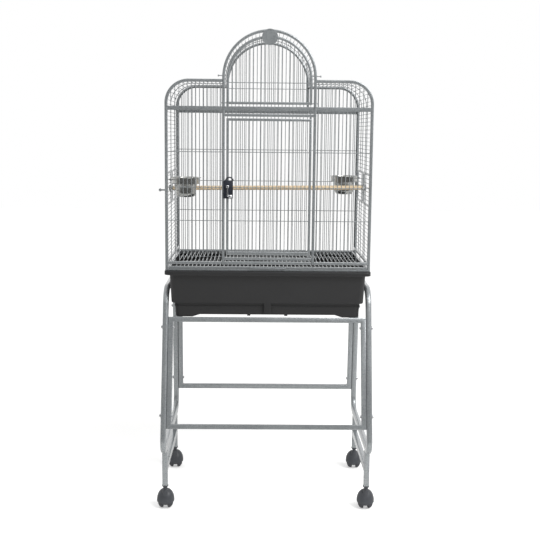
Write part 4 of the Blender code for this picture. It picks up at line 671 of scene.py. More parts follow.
def corner_panel(node, side, y, way):
    """way is 1 on the front, where the cross wires lie behind the upright ones, and -1 on the rear."""
    inner, level = HOOP_X + HOOP / 2 + GAP, rail_level(way)
    across = grid_lines(inner, HALF_WIDTH - POST / 2)
    cross = columns(side * inner, y + way * WIRE, CROSS_LEVELS)
    piece(node, HAMMERTONE, [
        along_path(upright(shoulder_path(BASE_TOP + GAP, inner), y, side), Y, tube_section(POST)),
        bar((side * inner, y, level), (side * HALF_WIDTH, y, level), tube_section(POST - INSIDE), Z),
        mid_rail(side * inner, side * HALF_WIDTH, y, way),
        wires(columns(side * across, y, level), columns(side * across, y, shoulder_height(across))),
        wires(cross, cross + (side * (HALF_WIDTH - inner), 0, 0)),
    ])


for word, side in SIDES:
    corner_panel(f"front_{word}_panel", side, FRONT_Y, 1)
    corner_panel(f"rear_{word}_panel", side, HALF_DEPTH, -1)

# %% [markdown]
# The front hoop is the U of tube that both doors close against. The middle of the back has the same arch of
# tube over its mid rail, and only wires below it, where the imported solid's arch runs down to the bottom rail.
# Between the legs of the front hoop lie the sill under the tall door and the header over it, each a pair of
# rails joined by short stubs of wire. The stubs run a little way into their rails.

# %% Hoops, sill and header
SILL_LOW, SILL_TOP = 1.018, 1.029
HEADER_LOW, HEADER_TOP = 1.580, 1.591
INNER = HOOP_X - HOOP / 2 - GAP
STUB_LAP = 0.002
MID_RAIL_LAP = 0.003


def hoop_path(radius, low, spring, steps=64):
    """(across, up) points up one leg, over a half circle and down the other."""
    return np.vstack([(radius, low), arc((0, spring), radius, 0, 180, steps), (-radius, low)])


def hoop_tube(low, y):
    return along_path(upright(hoop_path(HOOP_X, low, HOOP_SPRING), y), Y, tube_section(HOOP, corner=0.0032))


def arch_height(across, radius, spring):
    """The half circle's height over its spring: the root of radius squared less across squared."""
    return spring + np.sqrt(radius**2 - across**2)


def level_rail(half, y, low, high, depth):
    """A rail from side to side."""
    level = (low + high) / 2
    return bar((-half, y, level), (half, y, level), tube_section(depth, high - low), Z)


def stubs(low, high):
    across = grid_lines(-INNER, INNER)
    return wires(columns(across, FRONT_Y, low), columns(across, FRONT_Y, high))


def rear_centre():
    y, across, rail, legs = HALF_DEPTH, grid_lines(-INNER, INNER), rail_level(-1), (-HOOP_X, HOOP_X)
    levels = CROSS_LEVELS + (ARCH_CROSS_LEVEL,)
    piece("rear_centre_panel", HAMMERTONE, [
        hoop_tube(MID_RAIL_LOW + 0.001, y),
        wires(columns(legs, y, rail), columns(legs, y, MID_RAIL_TOP - MID_RAIL_LAP)),
        level_rail(HOOP_X, y, rail - POST / 2, rail + POST / 2, POST),
        mid_rail(-HOOP_X, HOOP_X, y, -1),
        wires(columns(across, y, rail), columns(across, y, arch_height(across, HOOP_X, HOOP_SPRING))),
        wires(columns(-HOOP_X, y - WIRE, levels), columns(HOOP_X, y - WIRE, levels)),
    ])


piece("front_hoop", HAMMERTONE, [hoop_tube(RAIL_LOW, FRONT_Y)])
piece("front_sill", HAMMERTONE, [
    level_rail(INNER, FRONT_Y, RAIL_LOW, RAIL_TOP, POST),
    level_rail(INNER, FRONT_Y, SILL_LOW, SILL_TOP, DOOR),
    stubs(RAIL_TOP - STUB_LAP, SILL_LOW + STUB_LAP),
])
piece("front_header", HAMMERTONE, [
    level_rail(INNER, FRONT_Y, HEADER_LOW, HEADER_TOP, DOOR),
    mid_rail(-INNER, INNER, FRONT_Y, 1),
    stubs(HEADER_TOP - STUB_LAP, MID_RAIL_TOP - MID_RAIL_LAP),
])
rear_centre()

# %% [markdown]
# The tall door is a frame of 10 mm tube with a wider bottom rail. It turns on pins in the sill and the
# header, on the right, and each pin has a collar that keeps the door from rubbing.

# %% Main door
DOOR_LOW, DOOR_HIGH = 1.038, 1.5735
DOOR_RAIL = 0.0145
COLLAR = 0.0042
DOOR_PIN, PIN_REACH = 0.002, 0.007


def main_door():
    low, high = DOOR_LOW + DOOR / 2, DOOR_HIGH - DOOR / 2
    corners = ((-STILE_X, low), (STILE_X, low), (STILE_X, high), (-STILE_X, high))
    across = grid_lines(-STILE_X + DOOR / 2, STILE_X - DOOR / 2)
    behind = FRONT_Y + WIRE
    shapes = [
        along_path(upright(corners, FRONT_Y), Y, tube_section(DOOR), closed=True),
        level_rail(STILE_X - DOOR / 4, FRONT_Y, DOOR_LOW - INSIDE / 2, DOOR_LOW + DOOR_RAIL, DOOR + INSIDE),
        wires(columns(across, FRONT_Y, DOOR_LOW + DOOR), columns(across, FRONT_Y, high)),
        wires(columns(-STILE_X, behind, CROSS_LEVELS), columns(STILE_X, behind, CROSS_LEVELS)),
    ]
    for face, seat, way in ((DOOR_LOW, SILL_TOP + GAP, -1), (DOOR_HIGH, HEADER_LOW - GAP, 1)):
        root = (STILE_X, FRONT_Y, face - way * DOOR / 4)
        length = abs(seat - root[2])
        shapes.append(round_bar(root, length, COLLAR, "Z", way))
        shapes.append(round_bar(root, length + PIN_REACH, DOOR_PIN, "Z", way))
    piece("main_door", HAMMERTONE, shapes)


main_door()

# %% [markdown]
# The lock: a pressed plate whose left and right edges are folded forward, with a wire bracket over it, and a
# chrome lever that hangs from a round hub and ends in a ball. Behind the door's frame the lever's shaft
# carries a flat finger, which turns behind the hoop. The plate ends 12 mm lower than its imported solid, and
# the bracket stands above it.

# %% Lock
PLATE_LEFT, PLATE_RIGHT = span("lock_plate", 0)
PLATE_LOW, PLATE_TOP = span("lock_plate", 2)
PLATE_TAIL = 0.012
PLATE_BACK = FRONT_Y - HOOP / 2 - GAP
PLATE_FRONT = PLATE_BACK - 0.003
FOLD = 0.0032
RIVET, RIVET_INSET = ((0, 0), (0.0022, 0), (0.0018, 0.0008), (0.001, 0.0012), (0, 0.0013)), 0.007
LEVER_X, LEVER_LEVEL = -0.1602, 1.309
HUB, SHAFT, LEVER_ARM = 0.007, 0.0025, 0.0028
KNOB = 0.009
LEVER_HOOK, LEVER_DROP = 0.011, 0.033


def plate(section, centre, steps):
    """A flat plate that faces front: an (x, z) section scaled round a centre, for each (y, share)."""
    return loft([columns(centre[0] + section[:, 0] * k, y, centre[1] + section[:, 1] * k) for y, k in steps])


def lock_plate():
    low, thin = PLATE_LOW - PLATE_TAIL, PLATE_BACK - FOLD / 2
    middle_x, level = (PLATE_LEFT + PLATE_RIGHT) / 2, (low + PLATE_TOP) / 2
    outline = tube_section(PLATE_RIGHT - PLATE_LEFT, PLATE_TOP - low, 0.003)
    shapes = [plate(outline, (middle_x, level), ((PLATE_BACK, 1.0), (thin + 0.0004, 1.0), (thin, 0.985)))]
    for x in (PLATE_LEFT + FOLD / 2, PLATE_RIGHT - FOLD / 2):
        y, fold = (PLATE_FRONT + PLATE_BACK) / 2, tube_section(FOLD, 0.003, 0.001)
        shapes.append(bar((x, y, low + 0.002), (x, y, PLATE_TOP - 0.002), fold, Y))
    for x in (PLATE_LEFT + RIVET_INSET, PLATE_RIGHT - RIVET_INSET):
        for z in (PLATE_TOP - RIVET_INSET, low + RIVET_INSET):
            shapes.append(turned(RIVET, (x, thin, z), "Y", -1, 20))
    bracket = arc((middle_x + 0.005, PLATE_TOP - 0.003), 0.0150, 8, 172, 16)
    shapes.append(along_path(upright(bracket, PLATE_BACK - 0.003), Y, round_section(0.0027)))
    y, pad = (PLATE_BACK + FRONT_Y - DOOR / 2) / 2, tube_section(2 * (DOOR / 2 - GAP), 0.0006, 0.0002)
    shapes.append(bar((-STILE_X, y, PLATE_LOW + 0.003), (-STILE_X, y, PLATE_TOP - 0.003), pad, Y))
    piece("lock_plate", ENAMEL, shapes)


def lock_lever():
    back = PLATE_FRONT - GAP
    arm_y, elbow = back - KNOB, LEVER_LEVEL - LEVER_DROP
    knob = (LEVER_X + LEVER_HOOK, arm_y, elbow - LEVER_HOOK / 2)
    hub = (
        (0, 0), (HUB, 0), (HUB, 0.007), (HUB - 0.0006, 0.0095), (HUB - 0.002, 0.0113),
        (HUB - 0.004, 0.012), (0, 0.012),
    )
    bend = arc((LEVER_X + LEVER_HOOK / 2, elbow), LEVER_HOOK / 2, 180, 270, 8)
    arm = np.vstack([(LEVER_X, LEVER_LEVEL), bend, (knob[0], knob[2])])
    y = FRONT_Y + HOOP / 2 + GAP + 0.001
    finger = tube_section(0.007, 0.002, 0.0006)
    piece("lock_lever", CHROME, [
        turned(hub, (LEVER_X, back, LEVER_LEVEL), "Y", -1, 32),
        round_bar((LEVER_X, y + 0.0012, LEVER_LEVEL), y - back + 0.004, SHAFT, "Y", -1),
        along_path(upright(arm, arm_y), Y, round_section(LEVER_ARM, 16)),
        ball(knob, KNOB),
        bar((LEVER_X, y, LEVER_LEVEL - 0.0035), (LEVER_X, y, LEVER_LEVEL + 0.021), finger, Y),
    ])


lock_plate()
lock_lever()

# %% [markdown]
# The arch door fills the dome's front. It drops forward on two pins at its lower corners, and two sprung pins
# hold it shut near the top of its legs. A plain round plate hangs on its crown. The plate's skin runs from
# its outer edge over the front to a small hole, through that and back behind, so it is a ring that closes on
# itself.

# %% Arch door, plate and latch pins
PIVOT_LEVEL, LATCH_LEVEL = 1.632, 1.736
DISC, DISC_THICK, DISC_EASE = 0.031, 0.002, 0.0005
HOLE, HOLE_INSET = 0.0022, 0.005
LATCH_REACH, LATCH_HEAD = 0.017, 0.005


def circle(sides):
    """(cos t, sin t) for even turns t."""
    turns = np.linspace(0, 2 * math.pi, sides, endpoint=False)
    return np.stack([np.cos(turns), np.sin(turns)], axis=-1)


def arch_door():
    outline = np.vstack([(-STILE_X, PIVOT_LEVEL), hoop_path(STILE_X, PIVOT_LEVEL, ARCH_SPRING)[:-1]])
    across = grid_lines(-STILE_X + DOOR / 2, STILE_X - DOOR / 2)
    tops = columns(across, FRONT_Y, arch_height(across, STILE_X, ARCH_SPRING))
    reach = HOOP_X + HOOP / 2 + ROD - STILE_X
    piece("arch_door", HAMMERTONE, [
        along_path(upright(outline, FRONT_Y), Y, tube_section(DOOR, corner=0.003), closed=True),
        wires(columns(across, FRONT_Y, PIVOT_LEVEL), tops),
        wires((-STILE_X, FRONT_Y + WIRE, ARCH_CROSS_LEVEL), (STILE_X, FRONT_Y + WIRE, ARCH_CROSS_LEVEL)),
        *[round_bar((way * STILE_X, FRONT_Y, PIVOT_LEVEL), reach, DOOR_PIN, "X", way) for way in (-1, 1)],
    ])


def crown_plate():
    crown, back = ARCH_SPRING + STILE_X, FRONT_Y - HOOP / 2 - GAP
    front, hole = back - DISC_THICK, crown + DISC - HOLE_INSET
    outline = (
        (DISC, crown, back), (DISC, crown, front + DISC_EASE), (DISC - DISC_EASE, crown, front),
        (HOLE, hole, front), (HOLE, hole, back),
    )
    turn = circle(64)
    rows = [columns(turn[:, 0] * radius, y, level + turn[:, 1] * radius) for radius, level, y in outline]
    pad, y = DOOR / 2 - GAP, back + 0.0002
    block = bar((-pad, y, crown), (pad, y, crown), tube_section(0.0006, 2 * pad, 0.0002), Z)
    piece("arch_disc", HAMMERTONE, [loft(rows, closed=True), block])


def latch_pin(word, side):
    start = side * (STILE_X + DOOR / 2 + GAP)
    length = HOOP_X + HOOP / 2 + LATCH_REACH - abs(start)
    head = start + side * (length - LATCH_HEAD)
    piece(f"arch_latch_pin_{word}", CHROME, [
        round_bar((start, FRONT_Y, LATCH_LEVEL), length, DOOR_PIN, "X", side),
        round_bar((head, FRONT_Y, LATCH_LEVEL), LATCH_HEAD, 0.004, "X", side, ease=0.0012),
    ])


arch_door()
crown_plate()
for word, side in SIDES:
    latch_pin(word, side)

# %% [markdown]
# The side walls are bars from front to back, held by upright ribs inside them. A wire frame runs round each
# wall. Over the feeder band the wall, the shoulder and the roof are one bent panel, so its bars are spaced
# evenly along that path, and the dome's vault is made the same way along the half circle.

# %% Side walls and roof
BAND_LOW, BAND_HIGH = 1.236, 1.355
WALL_TOP = BAND_LOW - ROD - GAP
PANEL_LOW = BAND_HIGH + ROD + GAP
ROOF_END = HOOP_X + ROD + GAP


def between(low, high):
    """Even places between two ends, about one pitch apart, without the ends."""
    count = round((high - low) / PITCH)
    return low + (high - low) * np.arange(1, count) / count


def wall_frame(x, low, high, width=EDGE_WIRE):
    corners = columns(x, (-EDGE_Y, EDGE_Y, EDGE_Y, -EDGE_Y), (low, low, high, high))
    return along_path(corners, X, round_section(width / 2), closed=True)


def lower_wall(word, side):
    x, inner, ribs = side * HALF_WIDTH, side * (HALF_WIDTH - WIRE), (-RIB_Y, RIB_Y)
    reach = EDGE_Y + EDGE_WIRE / 2
    level = (RAIL_LOW + RAIL_TOP) / 2
    bars = between(RAIL_TOP, WALL_TOP)
    piece(f"{word}_wall_lower", HAMMERTONE, [
        wall_frame(x, level, WALL_TOP),
        bar((x, -reach, level), (x, reach, level), tube_section(POST), Z),
        wires((x, -reach, WALL_TOP), (x, reach, WALL_TOP), ROD / 2),
        wires(columns(x, -EDGE_Y, bars), columns(x, EDGE_Y, bars)),
        wires(columns(inner, ribs, level), columns(inner, ribs, WALL_TOP)),
    ])


def even_places(path):
    """Points about one pitch apart along a path, by its running length."""
    lengths = np.concatenate([[0], np.cumsum(np.linalg.norm(np.diff(path, axis=0), axis=1))])
    count = round(lengths[-1] / PITCH)
    stops = lengths[-1] * np.arange(1, count) / count
    return np.stack([np.interp(stops, lengths, path[:, 0]), np.interp(stops, lengths, path[:, 1])], axis=-1)


def bent_panel(node, path, rib_path, ends, side=1):
    """Edge wires and inner ribs along a path, bars across it and a rod at each end."""
    shapes = [along_path(upright(path, y, side), Y, round_section(EDGE_WIRE / 2)) for y in (-EDGE_Y, EDGE_Y)]
    shapes += [along_path(upright(rib_path, y, side), Y, round_section(WIRE / 2)) for y in (-RIB_Y, RIB_Y)]
    reach = EDGE_Y + EDGE_WIRE / 2
    shapes += [wires((side * x, -reach, z), (side * x, reach, z), ROD / 2) for x, z in ends]
    x, z = even_places(path).T
    shapes.append(wires(columns(side * x, -EDGE_Y, z), columns(side * x, EDGE_Y, z)))
    piece(node, HAMMERTONE, shapes)


for word, side in SIDES:
    lower_wall(word, side)
    wall_path, rib_path = shoulder_path(PANEL_LOW, ROOF_END), shoulder_path(PANEL_LOW, ROOF_END, WIRE)
    bent_panel(f"{word}_upper_panel", wall_path, rib_path, ((HALF_WIDTH, PANEL_LOW), (ROOF_END, ROOF)), side)
vault_path, rib_path = hoop_path(HOOP_X, ROOF, HOOP_SPRING), hoop_path(HOOP_X - WIRE, ROOF, HOOP_SPRING)
bent_panel("vault", vault_path, rib_path, ((-HOOP_X, ROOF), (HOOP_X, ROOF)))

# %% [markdown]
# The feeder band has a hatch near the front on the left side and near the back on the right side, and plain
# bars elsewhere. The hatch turns on an upright rod in two eyes, and carries a bowl in a ring, so the bowl
# swings out over the floor to be filled. Its tab sits 6 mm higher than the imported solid's and ends in a ball.

# %% Feeder band
BAND_FAR = 0.222
BAND_PLATE, PLATE_HALF = 0.003, 0.007
HINGE_Y = 0.016
HATCH_X = HALF_WIDTH + 0.0048
BAR_COUNT = 8
EYE, EYE_TALL, EYE_BAY = 0.0045, 0.006, 2.5
HINGE_ROD = 0.0022
HATCH_LAP = 0.008
TAB_LEVEL, TAB_REACH, TAB_BALL = 1.291, 0.030, 0.006


def hatch_level(i):
    """The height of a hatch's bar, counted from its lower rod."""
    low, high = BAND_LOW - HATCH_LAP / 2, BAND_HIGH + HATCH_LAP / 2
    return low + (high - low) * np.asarray(i) / BAR_COUNT


def feeder_band(word, side, end):
    x, far, near, rib = side * HALF_WIDTH, end * BAND_FAR, -end * PLATE_HALF, -end * RIB_Y
    bars = between(BAND_LOW, BAND_HIGH)
    inner = x - side * WIRE
    strip = tube_section(0.020, BAND_PLATE, 0.001)
    shapes = [
        wall_frame(x, BAND_LOW, BAND_HIGH, ROD),
        bar((x, 0, BAND_LOW - 0.001), (x, 0, BAND_HIGH + 0.001), strip, X),
        wires((x, far, BAND_LOW), (x, far, BAND_HIGH), ROD / 2),
        wires(columns(x, far, bars), columns(x, end * EDGE_Y, bars)),
        wires(columns(x, near, bars), columns(x, -end * EDGE_Y, bars)),
        wires((inner, rib, BAND_LOW), (inner, rib, BAND_HIGH)),
    ]
    bore, lug = HINGE_ROD + GAP, side * (HALF_WIDTH + 0.003)
    for level in hatch_level((EYE_BAY, BAR_COUNT - EYE_BAY)):
        low, high = level - EYE_TALL / 2, level + EYE_TALL / 2
        ring = ((bore, low), (EYE, low), (EYE, high), (bore, high))
        shapes.append(turned(ring, (side * HATCH_X, end * HINGE_Y, 0), steps=24))
        start, stop = (lug, end * PLATE_HALF, level), (lug, end * (HINGE_Y - EYE + 0.001), level)
        shapes.append(bar(start, stop, tube_section(0.005, EYE_TALL, 0.001), Z))
    piece(f"{word}_feeder_frame", HAMMERTONE, shapes)


def hatch(node, side, end):
    x, near, far = side * HATCH_X, end * HINGE_Y, end * (BAND_FAR + HATCH_LAP)
    low, high = hatch_level(0), hatch_level(BAR_COUNT)
    levels = hatch_level(np.arange(1, BAR_COUNT))
    frame_path = columns(x, (near, far, far, near), (high, high, low, low))
    tip = side * (HATCH_X + TAB_REACH)
    tab = tube_section(0.003, 0.006, 0.001)
    piece(node, HAMMERTONE, [
        along_path(frame_path, X, round_section(EDGE_WIRE / 2)),
        wires((x, near, low - EDGE_WIRE / 2), (x, near, high + EDGE_WIRE / 2), HINGE_ROD, 16),
        wires(columns(x, near, levels), columns(x, far, levels)),
        bar((x, far, TAB_LEVEL), (tip - side * 0.004, far, TAB_LEVEL), tab, Z),
        ball((tip - side * (TAB_BALL + 0.0002), far, TAB_LEVEL), TAB_BALL, steps=20),
    ])


feeder_band("left", -1, -1)
feeder_band("right", 1, 1)
hatch("front_left_feeder_door", -1, -1)
hatch("rear_right_feeder_door", 1, 1)

# %% [markdown]
# A bowl's outline is three curves. From the flat base the side first turns up a quarter of an ellipse, then
# flares slowly to the neck, and the rim is rolled over. The inside is the same outline less the sheet's
# thickness. The bowl sits in its ring by the rim. The ring is a deep polished band, 24 mm where the packed
# solid's is 14 mm.

# %% Bowls and rings
RING_INNER, RING_WALL, RING_BAND, RING_EASE = 0.0535, 0.003, 0.024, 0.0006
BOWL_X, BOWL_Y = HALF_WIDTH - 0.067, HINGE_Y + 0.117
STRUT_LEVEL = float(hatch_level(6))
SEAT = STRUT_LEVEL + 0.008
BOWL_TOP = SEAT + GAP + 0.0024
BOWL_DEPTH, BOWL_TURN = 0.0795, 0.020
BOWL_BASE, BOWL_BELLY, BOWL_NECK, BOWL_RIM = 0.0275, 0.0405, 0.0525, 0.0615
SHEET, ROLL = 0.0012, 0.0016


def bowl_outline():
    """(radius, height) from the base's middle, up the outside, over the rolled rim and down the inside.
    Up to the turn's height h: radius from base to belly by sin t, height h * (1 - cos t). Above it: radius
    from belly to neck by the square of the rise."""
    bottom, seat = BOWL_TOP - BOWL_DEPTH, SEAT + GAP
    turn = np.linspace(0, 1, 10) * math.pi / 2
    rise = np.linspace(0, 1, 13)[1:]
    radius = BOWL_BASE + (BOWL_BELLY - BOWL_BASE) * np.sin(turn)
    lower = columns(radius, bottom + BOWL_TURN * (1 - np.cos(turn)))
    flare = BOWL_BELLY + (BOWL_NECK - BOWL_BELLY) * rise**2.0
    upper = columns(flare, bottom + BOWL_TURN + (seat - bottom - BOWL_TURN) * rise)
    roll = arc((BOWL_RIM - ROLL, BOWL_TOP - ROLL), ROLL, -80, 90, 8)
    inside = np.vstack([lower, upper])[::-1] - (SHEET, -SHEET * 0.2)
    inside[-len(lower):, 1] = np.maximum(inside[-len(lower):, 1], bottom + SHEET)
    foot = [(0, bottom + 0.0015), (BOWL_BASE - 0.003, bottom + 0.0015), (BOWL_BASE - 0.001, bottom)]
    lip = [(BOWL_NECK + 0.001, BOWL_TOP - 0.0002), (BOWL_NECK - SHEET + 0.0004, BOWL_TOP - 0.0010)]
    floor = [(0, bottom + SHEET + 0.0015)]
    return np.vstack([foot, lower, upper, [(BOWL_RIM - 0.003, seat)], roll, lip, inside[1:], floor])


def bowl_and_ring(place, side, end):
    centre = (side * BOWL_X, end * BOWL_Y, 0)
    piece(f"{place}_bowl", STAINLESS, [turned(bowl_outline(), centre, steps=96)])
    low, inner, outer, ease = SEAT - RING_BAND, RING_INNER, RING_INNER + RING_WALL, RING_EASE
    ring = (
        (inner, low + ease), (inner + ease, low), (outer - ease, low), (outer, low + ease),
        (outer, SEAT - ease), (outer - ease, SEAT), (inner + ease, SEAT), (inner, SEAT - ease),
    )
    start, stop = side * (BOWL_X + inner + RING_WALL / 2), side * (HATCH_X - WIRE / 2 - GAP)
    ends = [(x, end * BOWL_Y, STRUT_LEVEL) for x in (start, stop)]
    strut = bar(*ends, tube_section(0.004, 0.004, 0.0012), Z)
    piece(f"{place}_bowl_ring", STAINLESS, [turned(ring, centre, steps=96), strut])


bowl_and_ring("front_left", -1, -1)
bowl_and_ring("rear_right", 1, 1)

# %% [markdown]
# The perch is one dowel across the cage. A bolt at each end goes through the band's flat bar, and a wing nut
# holds it. The wings are thin plates with round ends. Both bolts stand 1.7 mm further out than the packed
# ones, and the perch hangs 8 mm lower at its left end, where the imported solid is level.

# %% Perch and wing nuts
PERCH_LEVEL, PERCH_DROP = 1.294, 0.008
DOWEL = 0.009
PERCH_SEAT = BAND_PLATE / 2 + GAP
WING_HUB = (
    (0, 0), (0.0062, 0), (0.0066, 0.001), (0.0058, 0.005), (0.0045, 0.0078), (0.0035, 0.0082), (0, 0.0082),
)
WING_STEPS = ((-0.0015, 0.94), (-0.0009, 1.0), (0.0009, 1.0), (0.0015, 0.94))


def perch_level(x):
    """The perch's height falls evenly to the left: the drop times the share of the way from the right."""
    return PERCH_LEVEL - PERCH_DROP * (HALF_WIDTH - x) / (2 * HALF_WIDTH)


def perch():
    half, turn = HALF_WIDTH - PERCH_SEAT, circle(48)
    rows = [columns(x, k * DOWEL * turn[:, 0], perch_level(x) + k * DOWEL * turn[:, 1])
            for x, k in ((-half, 0.93), (0.0006 - half, 1.0), (half - 0.0006, 1.0), (half, 0.93))]
    piece("perch", BEECH, [loft(rows)])


def perch_bolt(word, side):
    seat, level = side * (HALF_WIDTH + PERCH_SEAT), perch_level(side * HALF_WIDTH)
    wings = tube_section(0.0105, 0.026, 0.005, 8) + (side * 0.006, 0)
    piece(f"perch_bolt_{word}", CHROME, [
        turned(WING_HUB, (seat, 0, level), "X", side, 24),
        round_bar((seat, 0, level), 0.024, 0.003, "X", -side),
        plate(wings, (seat + side * 0.0015, level), WING_STEPS),
    ])


perch()
for word, side in SIDES:
    perch_bolt(word, side)

# %% [markdown]
# The base frame is flat bar on the basin's rim. The floor grille slides between it and the bottom rails, with
# a bent wire at the front to pull it by. Its wires run from front to back, as on the real cage, over two
# wires across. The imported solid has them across.

# %% Base frame and floor grille
BASE_BAR = 0.020
GRILLE_BAR, GRILLE_TALL = 0.008, 0.010
GRILLE_PLAY = 0.0015
PULL, PULL_REACH, PULL_BEND = 0.142, 0.010, 0.003


def base_frame():
    x, y = HALF_WIDTH + POST / 2 - BASE_BAR / 2, HALF_DEPTH + POST / 2 - BASE_BAR / 2
    corners = columns((-x, x, x, -x), (-y, -y, y, y), (BASE_LOW + BASE_TOP) / 2)
    section = tube_section(BASE_BAR, BASE_TOP - BASE_LOW, 0.0015)
    piece("base_frame", HAMMERTONE, [along_path(corners, Z, section, closed=True)])


def floor_grille():
    x, half, bend = HALF_WIDTH - POST / 2 - GRILLE_PLAY - GRILLE_BAR / 2, PULL / 2, PULL_BEND
    front, rear = FRONT_Y - POST / 2 + GRILLE_BAR / 2, EDGE_Y - GRILLE_BAR / 2
    level, ribs = BASE_TOP + GAP + GRILLE_TALL / 2, (-RIB_Y, RIB_Y)
    corners = columns((-x, x, x, -x), (front, front, rear, rear), level)
    across = grid_lines(-x + GRILLE_BAR / 2, x - GRILLE_BAR / 2)
    face = front - GRILLE_BAR / 4
    grip = face - PULL_REACH + bend
    left, right = arc((bend - half, grip), bend, 180, 270, 6), arc((half - bend, grip), bend, 270, 360, 6)
    pull = np.vstack([(-half, face), left, right, (half, face)])
    piece("floor_grille", HAMMERTONE, [
        along_path(corners, Z, tube_section(GRILLE_BAR, GRILLE_TALL, 0.002), closed=True),
        wires(columns(across, front, level), columns(across, rear, level)),
        wires(columns(-x, ribs, level - WIRE), columns(x, ribs, level - WIRE)),
        along_path(columns(pull[:, 0], pull[:, 1], level), Z, round_section(WIRE / 2)),
    ])


base_frame()
floor_grille()

# %% [markdown]
# The basin is one deep moulding. Each row of its skin is a rectangle with round corners, from the underside,
# down the skirt, up the outside, over the rim and down the inside. A row is given by how far it lies in from
# the rim's edge and by its level, so the list of rows is the moulding's profile. The two rows of the skirt's
# lower edge change level round the basin: they dip to the feet at the corners and stay up between them, which
# cuts the low windows. The windows are lower, and the rim a little deeper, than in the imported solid.

# %% Basin
BASIN_X, BASIN_Y = span("basin", 0)[1], span("basin", 1)[1]
BASIN_LOW, BASIN_TOP = span("basin", 2)
RIM_TALL, RIM_WIDE = 0.0165, 0.0185
STEP_LEVEL = 0.848
BODY_TAPER, TIER_INSET, TIER_TAPER = 0.0065, 0.0190, 0.0035
TIER = RIM_WIDE + TIER_INSET
SKIRT = TIER + TIER_TAPER
FOOT_TALL, FOOT_WIDE, FOOT_SLANT = 0.021, 0.068, 0.030
FOOT_END = np.array([BASIN_X, BASIN_Y]) - SKIRT - FOOT_WIDE
WINDOW_TOP = BASIN_LOW + 0.0095
BASIN_WALL, BASIN_CORNER = 0.003, 0.022
PILLAR = 0.030
HOOK_X, HOOK_WIDE = 0.0745, 0.013


def basin_row(inset, level, corner=BASIN_CORNER, steps=8):
    """A rectangle with round corners. Its straight sides also have points where the windows begin and end."""
    half_x, half_y = BASIN_X - inset, BASIN_Y - inset
    stops = np.array([1, 0.999, 0.5, 0, -0.5, -0.999, -1])
    along_x, along_y = [np.concatenate([[end], (end - FOOT_SLANT) * stops, [-end]]) for end in FOOT_END]
    inner_x, inner_y = half_x - corner, half_y - corner
    plan = np.vstack([
        arc((inner_x, inner_y), corner, 0, 90, steps), columns(along_x, half_y),
        arc((-inner_x, inner_y), corner, 90, 180, steps), columns(-half_x, along_y),
        arc((-inner_x, -inner_y), corner, 180, 270, steps), columns(-along_x, -half_y),
        arc((inner_x, -inner_y), corner, 270, 360, steps), columns(half_x, -along_y),
    ])
    return columns(plan[:, 0], plan[:, 1], level)


def window_edge(row):
    """The skirt's lower edge: high between the feet, low under them, and a slant from one to the other."""
    beyond_foot = np.min(np.abs(row[:, :2]) - FOOT_END, axis=1)
    rise = np.clip(-beyond_foot / FOOT_SLANT, 0, 1)
    return np.column_stack([row[:, :2], BASIN_LOW + (WINDOW_TOP - BASIN_LOW) * rise])


def basin_skin():
    wall, under, rim_low, step = BASIN_WALL, BASIN_LOW + FOOT_TALL, BASIN_TOP - RIM_TALL, STEP_LEVEL
    corner, body, waist = BASIN_CORNER - wall, RIM_WIDE, RIM_WIDE + BODY_TAPER
    skirt = [
        basin_row(SKIRT + wall, under, corner),
        window_edge(basin_row(SKIRT + wall, BASIN_LOW, corner)),
        window_edge(basin_row(SKIRT, BASIN_LOW)),
    ]
    outside = (
        (SKIRT - 0.0015, under + 0.006), (TIER + 0.0004, step - 0.020), (TIER - 0.0012, step - 0.0195),
        (TIER - 0.0016, step - 0.0175), (TIER - 0.0004, step - 0.0165), (TIER, step - 0.0085),
        (TIER - 0.001, step - 0.0065), (waist + 0.003, step - 0.0050), (waist + 0.0008, step - 0.0035),
        (waist, step), (body + 0.0006, rim_low - 0.004), (body - 0.0004, rim_low - 0.001),
        (body - 0.002, rim_low), (0.0014, rim_low), (0.0004, rim_low + 0.0004), (0, rim_low + 0.0014),
        (0, BASIN_TOP - 0.003), (0.0009, BASIN_TOP - 0.0009), (0.003, BASIN_TOP),
        (body + wall - 0.002, BASIN_TOP), (body + wall, BASIN_TOP - 0.002),
    )
    inside = (
        (waist + wall, step + 0.006), (waist + wall + 0.003, step + wall),
        (TIER + wall - 0.002, step + 0.001), (TIER + wall, step - 0.002),
        (SKIRT + wall - 0.001, under + wall + 0.004), (SKIRT + wall + 0.004, under + wall),
    )
    outside = [basin_row(inset, level) for inset, level in outside]
    return loft(skirt + outside + [basin_row(inset, level, corner) for inset, level in inside])


def basin():
    shapes = [basin_skin()]
    for end in (-1, 1):
        back = end * (BASIN_Y - SKIRT - BASIN_WALL / 2)
        face = end * (BASIN_Y - RIM_WIDE - BODY_TAPER - 0.0010)
        outline = tube_section(PILLAR, abs(face - back), 0.002) + (0, (face + back) / 2)
        levels = (WINDOW_TOP + 0.006, STEP_LEVEL - 0.003)
        shapes.append(loft([columns(outline[:, 0], outline[:, 1], z) for z in levels]))
        for x in (-HOOK_X, HOOK_X):
            y = end * (BASIN_Y - SKIRT - 0.001)
            top, low = (x, y, BASIN_LOW + FOOT_TALL + 0.002), (x, y, WINDOW_TOP - 0.005)
            shapes.append(bar(top, low, tube_section(HOOK_WIDE, 0.0024, 0.0008), Y))
    piece("basin", POLYPROPYLENE, shapes)


basin()

# %% [markdown]
# The stand's front and rear frames lean out, so both are paths in a tilted plane. The side hoops are oval
# tube bent in one loop. A corner's bend is the circle that touches both sides: it starts
# radius / tan(half the angle) away from the corner.

